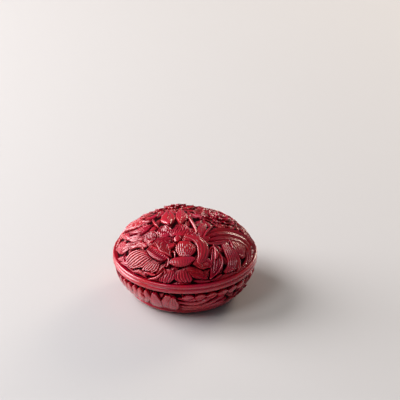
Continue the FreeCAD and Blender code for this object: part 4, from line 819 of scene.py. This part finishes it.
def bowl_undergrowth():
    """Low leaves all round the bowl, in three staggered rows."""
    chance = random.Random(4)
    shapes = []
    count = 36
    half, rise, width = 3.4, 3.0, 4.6
    pitch = 2 * math.pi * BowlForm().fullest / count
    for row, up in enumerate((-4.2, -8.8, -13.4)):
        for step in range(count):
            lean = chance.uniform(-0.9, 0.9)
            middle = pitch * (step + row / 3)
            aside, above = half * math.sin(lean), rise * math.cos(lean)
            shapes.append(low_leaf((middle - aside, up - above), (middle + aside, up + above),
                                   width, chance.uniform(-0.8, 0.8)))
    return shapes


def bowl_front():
    """Petals and leaves on the near side of the bowl."""
    petals = []
    for index, top in enumerate((-41, -37, -33, -29, -25, -21)):
        low = top - 6.0 + 0.5 * index
        petals.append(Carving(
            [(low - 2.0, -13.5), (top - 3.0, -6.5), (top - 2.2, -2.6)],
            [(low + 0.8, -14.5), (top + 1.8, -7.5), (top + 1.9, -2.9)],
            (-1.6, -0.45 - 0.12 * (index % 2), 0.6), bulge=1.3, lip=0.15))
    middle = [
        Carving([(-21, -16.5), (-20, -9), (-19, -3)], [(-13, -16.5), (-12.6, -9), (-13.6, -3)],
            (-1.2, -0.5, 0.45), bulge=1.4, lobes=2, lobe=0.7, lip=0.25),
        Carving([(-13.5, -16.5), (-13.2, -9), (-12.2, -3)], [(-4.5, -16.8), (-4.4, -9), (-5.4, -3)],
            (-1.4, -0.6, 0.4), bulge=1.2, lobes=2, lobe=0.7, lip=0.25),
        Carving([(-26.4, -8.8), (-27, -7), (-25.9, -5.2)], [(-22.8, -8.8), (-22.2, -7), (-23.3, -5.2)],
            (-0.7, -0.5, 0.5), bulge=0.9, root_bulge=0.9),
        Carving([(-9.5, -15.5), (-10, -9), (-8.5, -4)], [(-4.5, -15.8), (-3, -9), (-3.6, -3.6)],
            (-0.9, -0.3, 0.3), bulge=1.0, lip=0.3, rays=4, ray_from=0.4),
    ]
    blades = [
        leaf((-3.6, -3.6), (10.5, -2.4), 2.8, -1.6, root=-1.0, tip=-0.5, veins=9),
        leaf((-3.8, -6.4), (16.5, -2.6), 3.4, -3.0, root=-0.9, tip=-0.4, veins=10),
        leaf((-3.6, -9.6), (21.5, -4.2), 3.6, -4.2, root=-1.0, tip=-0.5, veins=10),
        leaf((-3, -12.8), (24, -8.2), 3.6, -3.6, root=-1.1, tip=-0.6, veins=9),
        leaf((-1.5, -15.6), (24.5, -12.2), 3.4, -2.4, root=-1.3, tip=-0.8, veins=8),
    ]
    tips = [
        Carving([(top - 2.2, -5.4), (top - 3.0, -3.4), (top - 2.2, -1.9)],
                [(top + 2.6, -4.8), (top + 3.4, -3.0), (top + 3.0, -1.6)],
                (-1.1, -0.25, 0.4), bulge=0.5)
        for top in (1.6, 8.0, 14.4, 20.8, 27.2, 33.6)]
    return petals + middle + blades + tips


def bowl_band():
    """Half flowers and leaves that run on round the bowl, where its front ends."""
    shapes = []
    start, end = 25.0, 2 * math.pi * BowlForm().fullest - 50.0
    count = 5
    step = (end - start) / count
    # Root, tip, width and bow of each leaf between two flowers.
    beside = (((-3, -16.5), (-5, -2.0), 4.6, -1.0), ((1, -16.8), (0.5, -1.8), 4.6, 0.8),
              ((4, -15.5), (5.5, -2.4), 4.0, 1.0), ((-6, -4.5), (-12, -1.8), 2.8, 0.5),
              ((8, -4.2), (13, -1.8), 2.8, -0.5))
    for index in range(count):
        middle = start + step * (index + 0.5)
        centre = (middle, -16.0)
        for turn in range(7):
            far = 13.2 if 1 < turn < 5 else 11.5
            low = 0.15 * (turn % 2)
            shapes.append(ring_petal(centre, math.radians(12 + 26 * turn), 3.2, far, 7.4,
                                     (-1.7 - low, -0.7 - low), lobes=3, lobe=0.8, rays=9))
        for turn in range(4):
            shapes.append(ring_petal(centre, math.radians(28 + 41 * turn), 0.8, 7.4, 5.0,
                                     (-1.2, -0.3 - 0.1 * (turn % 2)), lobes=2, lobe=0.5, rays=6,
                                     dish=0.3, lip=0.15))
        edge = middle + step / 2
        shapes += [leaf((edge + root[0], root[1]), (edge + tip[0], tip[1]), width, bow)
                   for root, tip, width, bow in beside]
    return shapes


# The design: its pieces by name, each with its form and the function that draws it.
DESIGN = {
    "lid_undergrowth": (LidForm, lid_undergrowth),
    "bowl_undergrowth": (BowlForm, bowl_undergrowth),
    "lid_front_peony": (LidForm, front_peony),
    "lid_front_leaves": (LidForm, front_leaves),
    "lid_right_peony": (LidForm, functools.partial(round_peony, (18.0, 9.5), 13.0)),
    "lid_back_peony": (LidForm, functools.partial(round_peony, (-6.0, 27.0), 15.0)),
    "lid_far_leaves": (LidForm, far_leaves),
    "bowl_front_carving": (BowlForm, bowl_front),
    "bowl_band_carving": (BowlForm, bowl_band),
}


@functools.cache
def relief(kind):
    """The relief of the whole lid or of the whole bowl."""
    span = (100.0, 100.0) if kind is LidForm else (2 * math.pi * BowlForm().fullest, 30.0)
    return Relief(span, [shape for form, draw in DESIGN.values() if form is kind
                         for shape in draw()])


# Turned coats under the carving.


def arc_points(centre, radius, first, last, steps):
    """Points of an arc of a section, angles in radians from level."""
    angles = [first + (last - first) * step / steps for step in range(steps + 1)]
    return [(centre[0] + radius * math.cos(angle), centre[1] + radius * math.sin(angle))
            for angle in angles]


def bead_points(radius, low_z, high_z):
    """Section of a rim bead that reaches the full radius, from its low edge to its high edge."""
    half = math.asin((high_z - low_z) / 2 / radius)
    middle = (BOX_RADIUS - radius, (low_z + high_z) / 2)
    return arc_points(middle, radius, -half, half, BEAD_STEPS)


def turn_coat(form, section):
    """Spins a closed section into a coat and cuts fine lozenges into its ground."""
    size = settings("turned")
    mesh = bmesh.new()
    verts = [mesh.verts.new((radius * MM, 0.0, height * MM)) for radius, height in section]
    edges = [mesh.edges.new(pair) for pair in zip(verts, verts[1:])]
    edges.append(mesh.edges.new((verts[-1], verts[0])))
    bmesh.ops.spin(mesh, geom=verts + edges, cent=(0, 0, 0), axis=(0, 0, 1),
                   angle=math.pi / 2, steps=QUARTER_STEPS)
    for axis in "XY":
        bmesh.ops.mirror(mesh, geom=mesh.verts[:] + mesh.edges[:] + mesh.faces[:],
                         merge_dist=MERGE, axis=axis)
    bmesh.ops.remove_doubles(mesh, verts=mesh.verts, dist=MERGE)
    piece = new_piece(form.body + "_coat", mesh)
    points = get_points(piece.data) / MM
    radius, angle = np.hypot(points[:, 0], points[:, 1]), np.arctan2(points[:, 1], points[:, 0])
    run, rise = form.unfold(radius, points[:, 2])
    across, away = form.design_spot(run, angle)
    one = valley((across + away) / size.ground_pitch / math.sqrt(2))
    other = valley((across - away) / size.ground_pitch / math.sqrt(2))
    is_ground = abs(rise + size.carve_depth) < GROUND_SLACK
    cut = np.where(is_ground, np.maximum(one, other) ** 2, 0.0)
    low_radius, low_height = form.profile(run, rise - cut * size.ground_cut)
    share = np.where(is_ground, low_radius / np.maximum(radius, TINY), 1.0)[:, None]
    points[:, :2] *= share
    points[:, 2] = np.where(is_ground, low_height, points[:, 2])
    # The ground's depth and its lozenge lines are passed on for the finish's painted shade.
    shade = np.clip(1.0 + (rise - cut * size.ground_cut) / size.root_depth, 0.0, 1.0)
    set_points(piece.data, points * MM, shade, cut)
    dress(piece, form)


def lid_section(form):
    """Section of the lid's coat: seam face, bead, carved-out ground and inner face."""
    size = settings("turned")
    bead_top = SEAM_Z + size.lid_bead_height
    outside = [(size.lid_land_radius, SEAM_Z)]
    outside += bead_points(size.lid_bead_radius, SEAM_Z, bead_top)
    outside.append((outside[-1][0] - BEAD_STEP_IN, bead_top + BEAD_STEP_UP))
    outside.append((outside[-1][0] - 0.3, bead_top - 0.1))
    start = form.rim_run - 0.1
    steps = 100
    outside += [form.profile(start * (1 - step / steps), -size.carve_depth)
                for step in range(steps + 1)]
    land = SEAM_Z + size.land_thickness
    length = form.shoulder - size.coat_thickness
    land_turn = math.acos((land - form.belly_z) / length)
    land_run = form.crown_run + form.shoulder * (land_turn - form.turn)
    steps = 30
    inside = [form.profile(land_run * step / steps, -size.coat_thickness)
              for step in range(steps + 1)]
    return outside + inside + [(size.lid_land_radius, land)]


def bowl_section(form):
    """Section of the bowl's coat: seam face, bead, carved-out ground and the foot's border."""
    size = settings("turned")
    bead_low = SEAM_Z - size.bowl_bead_height
    land = SEAM_Z - size.land_thickness
    outside = [(size.bowl_land_radius, land), (size.bowl_land_radius, SEAM_Z)]
    outside += bead_points(size.bowl_bead_radius, bead_low, SEAM_Z)[::-1]
    outside.append((outside[-1][0] - BEAD_STEP_IN, bead_low - BEAD_STEP_UP))
    steps = 44
    top, low = 0.45, form.band - 0.35
    outside += [form.profile(top + (low - top) * step / steps, -size.carve_depth)
                for step in range(steps + 1)]
    outside.append(form.profile(form.band - 0.1, -0.5))
    edge, foot = form.profile(form.band, 0.0), (size.foot_edge_radius, BORDER_FOOT_Z)
    across, up = edge[0] - foot[0], edge[1] - foot[1]
    chord = math.hypot(across, up)
    for share in np.linspace(0.0, 1.0, 9):
        bulge = size.border_bulge * 4 * share * (1 - share)
        outside.append((edge[0] - across * share + up / chord * bulge,
                        edge[1] - up * share - across / chord * bulge))
    outside.append((size.foot_socket_radius, BORDER_FOOT_Z))
    length = form.arc - size.coat_thickness
    low_turn = -math.acos((size.foot_socket_radius - form.arc_x) / length)
    high_turn = math.asin((land - form.arc_z) / length)
    inside = arc_points((form.arc_x, form.arc_z), length, low_turn, high_turn, 24)
    return outside + inside


# Finishes.


def linear(code):
    """An sRGB hex colour as linear red, green, blue and alpha."""
    parts = [int(code[place:place + 2], 16) / 255 for place in (1, 3, 5)]
    return [part / 12.92 if part <= 0.04045 else ((part + 0.055) / 1.055) ** 2.4
            for part in parts] + [1.0]


def add(tree, kind, links=None, **values):
    """Adds a shader node, sets its fields and sockets, and links its inputs."""
    node = tree.nodes.new("ShaderNode" + kind)
    for name, value in values.items():
        if hasattr(node, name):
            setattr(node, name, value)
        else:
            node.inputs[name.replace("_", " ")].default_value = value
    for name, source in (links or {}).items():
        tree.links.new(source, node.inputs[name])
    return node


def new_finish(name):
    """An empty material with its output, and its tree."""
    material = bpy.data.materials.new(name)
    material.use_nodes = True
    material.node_tree.nodes.clear()
    return material, material.node_tree


def close_finish(tree, shader):
    """Joins a shader to the material's output."""
    add(tree, "OutputMaterial", {"Surface": shader.outputs[0]})


def mixed(tree, factor, low, high):
    """Mixes two colours, each a hex code or a socket, by a socket."""
    node = add(tree, "Mix", data_type="RGBA")
    tree.links.new(factor, node.inputs[0])
    for place, colour in ((6, low), (7, high)):
        if isinstance(colour, str):
            node.inputs[place].default_value = linear(colour)
        else:
            tree.links.new(colour, node.inputs[place])
    return node.outputs[2]


def noise(tree, place, width, detail=2.0):
    """Clouds of a width in millimetres."""
    return add(tree, "TexNoise", {"Vector": place}, Scale=1 / (width * MM), Detail=detail)


def ranged(tree, source, low, high, to_low=0.0, to_high=1.0):
    """Spreads part of a value's range over another range."""
    node = add(tree, "MapRange", {"Value": source}, clamp=True)
    for socket, value in zip(("From Min", "From Max", "To Min", "To Max"),
                             (low, high, to_low, to_high)):
        node.inputs[socket].default_value = value
    return node.outputs[0]


def red_lacquer():
    """Cinnabar lacquer laid up in many coats, carved and rubbed: deep red, soft gloss.

    The hollows and the cutter's lines are darkened with painted shade, and the faces have the
    slight waves of a hand-held gouge under the polish.
    """
    look = settings("red")
    material, tree = new_finish("carved_red_lacquer")
    place = add(tree, "TexCoord").outputs["Object"]
    level = add(tree, "Attribute", attribute_name="cut_level").outputs["Fac"]
    line = add(tree, "Attribute", attribute_name="line_and_groove_shade").outputs["Fac"]
    clouds, marks = noise(tree, place, 9, 3.0), noise(tree, place, look.tool_mark, 1.5)
    grain = noise(tree, place, 0.25)
    tone = mixed(tree, ranged(tree, clouds.outputs[0], 0.35, 0.65), look.face, look.warm)
    # Painted shade: faces are mixed towards the hollow shade colour the deeper they are cut, and again
    # along the cutter's lines and the grooves beside higher shapes.
    deep = ranged(tree, level, 0.1, 0.5, 1.0, 0.0)
    shaded = mixed(tree, deep, tone, look.hollow_shade)
    line_shaded = mixed(tree, ranged(tree, line, 0.3, 0.9, 0.0, 0.9), shaded, look.hollow_shade)
    waves = add(tree, "Bump", {"Height": marks.outputs[0]}, Strength=0.35, Distance=0.12 * MM)
    fine = add(tree, "Bump", {"Height": grain.outputs[0], "Normal": waves.outputs[0]},
               Strength=0.2, Distance=0.02 * MM)
    polish = ranged(tree, grain.outputs[0], 0.3, 0.7, look.roughness - 0.04,
                    look.roughness + 0.06)
    dull = ranged(tree, level, 0.1, 0.5, 0.4, 0.0)
    rough = add(tree, "Math", {0: polish, 1: dull}, operation="ADD")
    shader = add(tree, "BsdfPrincipled", {
        "Base Color": line_shaded, "Normal": fine.outputs[0], "Roughness": rough.outputs[0],
        "Specular IOR Level": ranged(tree, level, 0.15, 0.6, 0.04, 0.5),
        "Coat Weight": ranged(tree, level, 0.3, 0.7, 0.0, 0.6)},
        IOR=1.52, Coat_Roughness=0.12, Coat_IOR=1.5)
    close_finish(tree, shader)
    return material


def black_lacquer(name, roughness):
    """Black lacquer over wood: near black with a faint brown depth and brushed-out waves."""
    look = settings("black")
    material, tree = new_finish(name)
    place = add(tree, "TexCoord").outputs["Object"]
    clouds, waves = noise(tree, place, 12, 4.0), noise(tree, place, 4, 1.0)
    tone = mixed(tree, ranged(tree, clouds.outputs[0], 0.45, 0.8, 0.0, 0.6), look.face,
                 look.rubbed)
    bump = add(tree, "Bump", {"Height": waves.outputs[0]}, Strength=0.15, Distance=0.05 * MM)
    rough = ranged(tree, clouds.outputs[0], 0.3, 0.7, roughness, roughness + 0.08)
    shader = add(tree, "BsdfPrincipled", {
        "Base Color": tone, "Normal": bump.outputs[0], "Roughness": rough},
        IOR=1.52, Coat_Weight=0.5, Coat_Roughness=0.08)
    close_finish(tree, shader)
    return material


def turned_wood():
    """Close-grained horse chestnut, turned on a lathe: pale, with faint rings and pores."""
    look = settings("wood")
    material, tree = new_finish("turned_horse_chestnut")
    place = add(tree, "TexCoord").outputs["Object"]
    stretch = add(tree, "Mapping", {"Vector": place}, Scale=(1.0, 0.12, 1.0))
    rings = add(tree, "TexWave", {"Vector": stretch.outputs[0]},
                Scale=1 / (look.ring_pitch * MM) / 6.28, Distortion=3.0, Detail=2.0)
    pores = noise(tree, stretch.outputs[0], 0.4)
    tone = mixed(tree, rings.outputs[1], look.early, look.late)
    bump = add(tree, "Bump", {"Height": pores.outputs[0]}, Strength=0.3, Distance=0.05 * MM)
    rough = ranged(tree, pores.outputs[0], 0.3, 0.7, 0.5, 0.65)
    shader = add(tree, "BsdfPrincipled", {
        "Base Color": tone, "Normal": bump.outputs[0], "Roughness": rough}, IOR=1.5)
    close_finish(tree, shader)
    return material


def dress(piece, form):
    """Gives a red piece its finish and its body, and hides the frame's coat that it stands for."""
    piece.data.materials.append(bpy.data.materials.get("carved_red_lacquer") or red_lacquer())
    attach(piece, form.body)
    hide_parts(form.body + "_carved_coat")


def paint_node(node, material):
    """Gives a solid of the frame a better material in every slot that it has."""
    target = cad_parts[node]
    target = target if isinstance(target, bpy.types.Object) else bpy.data.objects[node]
    if not target.material_slots:
        raise RuntimeError(f"{node} has no material slot")
    for slot in target.material_slots:
        slot.link = "OBJECT"
        slot.material = material


# Operators.


class LidCoat(bpy.types.Operator):
    """Turn the lid's coat with its plain bead and the sunk ground of the carving"""

    bl_idname = "incense_box.lid_coat"
    bl_label = "Lid coat"

    def execute(self, context):
        form = LidForm()
        turn_coat(form, lid_section(form))
        return {"FINISHED"}


class BowlCoat(bpy.types.Operator):
    """Turn the bowl's coat with its bead, its sunk ground and the border at the foot"""

    bl_idname = "incense_box.bowl_coat"
    bl_label = "Bowl coat"

    def execute(self, context):
        form = BowlForm()
        turn_coat(form, bowl_section(form))
        return {"FINISHED"}


class CarvingStep:
    """A step that carves the named pieces of the design."""

    pieces = ()

    def execute(self, context):
        for name in self.pieces:
            carve(name)
        return {"FINISHED"}


class Undergrowth(CarvingStep, bpy.types.Operator):
    """Carve the low leaves between the motifs of the lid and the bowl"""

    bl_idname = "incense_box.undergrowth"
    bl_label = "Undergrowth"
    pieces = ("lid_undergrowth", "bowl_undergrowth")


class FrontPeony(CarvingStep, bpy.types.Operator):
    """Carve the large peony on the near side of the lid"""

    bl_idname = "incense_box.front_peony"
    bl_label = "Front peony"
    pieces = ("lid_front_peony",)


class FrontLeaves(CarvingStep, bpy.types.Operator):
    """Carve the bud, stems and leaves round the large peony"""

    bl_idname = "incense_box.front_leaves"
    bl_label = "Front leaves"
    pieces = ("lid_front_leaves",)


class FarPeonies(CarvingStep, bpy.types.Operator):
    """Carve the two smaller peonies on the far side of the lid"""

    bl_idname = "incense_box.far_peonies"
    bl_label = "Far peonies"
    pieces = ("lid_right_peony", "lid_back_peony")


class FarLeaves(CarvingStep, bpy.types.Operator):
    """Carve the leaves on the far side of the lid"""

    bl_idname = "incense_box.far_leaves"
    bl_label = "Far leaves"
    pieces = ("lid_far_leaves",)


class BowlCarving(CarvingStep, bpy.types.Operator):
    """Carve the petals and leaves that run round the bowl"""

    bl_idname = "incense_box.bowl_carving"
    bl_label = "Bowl carving"
    pieces = ("bowl_front_carving", "bowl_band_carving")


class InnerFinishes(bpy.types.Operator):
    """Lacquer the linings, the ring and the foot black, and give the cores their wood"""

    bl_idname = "incense_box.inner_finishes"
    bl_label = "Linings, ring, foot and cores"

    def execute(self, context):
        look = settings("black")
        lining = black_lacquer("polished_black_lacquer", look.lining_roughness)
        foot = black_lacquer("rubbed_black_lacquer", look.foot_roughness)
        wood = turned_wood()
        for node in ("lid_inner_lining", "bowl_inner_lining", "fitting_ring"):
            paint_node(node, lining)
        paint_node("foot_and_base", foot)
        for node in ("lid_wood_core", "bowl_wood_core"):
            paint_node(node, wood)
        return {"FINISHED"}


class Stage(bpy.types.Operator):
    """Lay the pale floor, hang the soft lights and set the camera"""

    bl_idname = "incense_box.stage"
    bl_label = "Stage, lights and camera"

    def execute(self, context):
        look = settings("stage")
        self.floor(look)
        self.lights(look)
        self.camera(look)
        world = bpy.data.worlds.new("plain_surround")
        world.use_nodes = True
        background = world.node_tree.nodes["Background"]
        background.inputs[0].default_value = COOL_WHITE
        background.inputs[1].default_value = look.sky
        context.scene.world = world
        context.scene.view_settings.view_transform = "Standard"
        return {"FINISHED"}

    def floor(self, look):
        """A wide pale floor."""
        mesh = bmesh.new()
        bmesh.ops.create_grid(mesh, x_segments=4, y_segments=4, size=3.0)
        floor = new_piece("floor", mesh)
        material, tree = new_finish("pale_floor")
        shader = add(tree, "BsdfPrincipled", Roughness=0.55)
        shader.inputs["Base Color"].default_value = linear(look.floor)
        close_finish(tree, shader)
        floor.data.materials.append(material)

    def lights(self, look):
        """A broad window light from the far left, a warm one from the far right and a fill."""
        lamps = (
            ("window_light", look.key_power, 0.9, (-0.92, 0.3, 0.55), (1.0, 0.96, 0.98)),
            ("warm_light", look.warm_power, 0.4, (0.6, 0.85, 0.4), (1.0, 0.86, 0.7)),
            ("fill_light", look.fill_power, 0.5, (-0.6, -0.5, 1.0), (1.0, 0.98, 1.0)),
        )
        target = Vector((0.0, 0.0, 0.02))
        for name, power, width, spot, colour in lamps:
            lamp = bpy.data.lights.new(name, "AREA")
            lamp.energy, lamp.size, lamp.color = power, width, colour
            holder = new_object(name, lamp)
            holder.location = spot
            holder.rotation_euler = (target - Vector(spot)).to_track_quat("-Z", "Y").to_euler()

    def camera(self, look):
        """The photograph's camera: level side to side, looking down at the box."""
        lens = bpy.data.cameras.new("photo_camera")
        lens.sensor_fit = "HORIZONTAL"
        lens.sensor_width = SENSOR
        lens.lens = look.focal_px / PHOTO_WIDTH * SENSOR
        lens.clip_start, lens.clip_end = 0.05, 20.0
        forward = Vector((0.0, math.cos(look.pitch), -math.sin(look.pitch)))
        upward = Vector((0.0, math.sin(look.pitch), math.cos(look.pitch)))
        sideways = (look.axis_px - PHOTO_WIDTH / 2) / look.focal_px
        downward = (look.belly_px - PHOTO_HEIGHT / 2) / look.focal_px
        ray = forward + Vector((1.0, 0.0, 0.0)) * sideways - upward * downward
        belly = Vector((0.0, 0.0, (SEAM_Z - settings("turned").belly_drop) * MM))
        camera = new_object("photo_camera", lens)
        camera.location = belly - ray.normalized() * look.distance
        camera.rotation_euler = (math.pi / 2 - look.pitch, 0.0, 0.0)
        bpy.context.scene.camera = camera


GROUPS = (
    ("turned", TurnedSizes), ("red", RedLacquer), ("black", BlackLacquer), ("wood", TurnedWood),
    ("stage", StageLook),
)
STEPS = (
    Stage, LidCoat, BowlCoat, Undergrowth, FrontPeony, FrontLeaves, FarPeonies, FarLeaves,
    BowlCarving, InnerFinishes,
)


class IncenseBoxPanel(bpy.types.Panel):
    """Sizes, colours and steps of the incense box"""

    bl_idname = "VIEW3D_PT_incense_box"
    bl_label = "Incense box"
    bl_space_type = "VIEW_3D"
    bl_region_type = "UI"
    bl_category = "Incense box"

    def draw(self, context):
        for name, group in GROUPS:
            box = self.layout.box()
            box.label(text=name.capitalize())
            for field in group.__annotations__:
                box.prop(settings(name), field)
        for step in STEPS:
            self.layout.operator(step.bl_idname)


def register():
    """Adds the settings, the operators and the panel."""
    for name, group in GROUPS:
        bpy.utils.register_class(group)
        setattr(bpy.types.Scene, "incense_box_" + name, bpy.props.PointerProperty(type=group))
    for kind in STEPS + (IncenseBoxPanel,):
        bpy.utils.register_class(kind)


def unregister():
    """Takes away what register added."""
    for kind in (IncenseBoxPanel,) + STEPS[::-1]:
        bpy.utils.unregister_class(kind)
    for name, group in GROUPS[::-1]:
        delattr(bpy.types.Scene, "incense_box_" + name)
        bpy.utils.unregister_class(group)


def main():
    """Makes the whole scene."""
    register()
    for step in STEPS:
        family, action = step.bl_idname.split(".")
        getattr(getattr(bpy.ops, family), action)()
    bpy.context.view_layer.update()


if __name__ == "__main__":
    main()
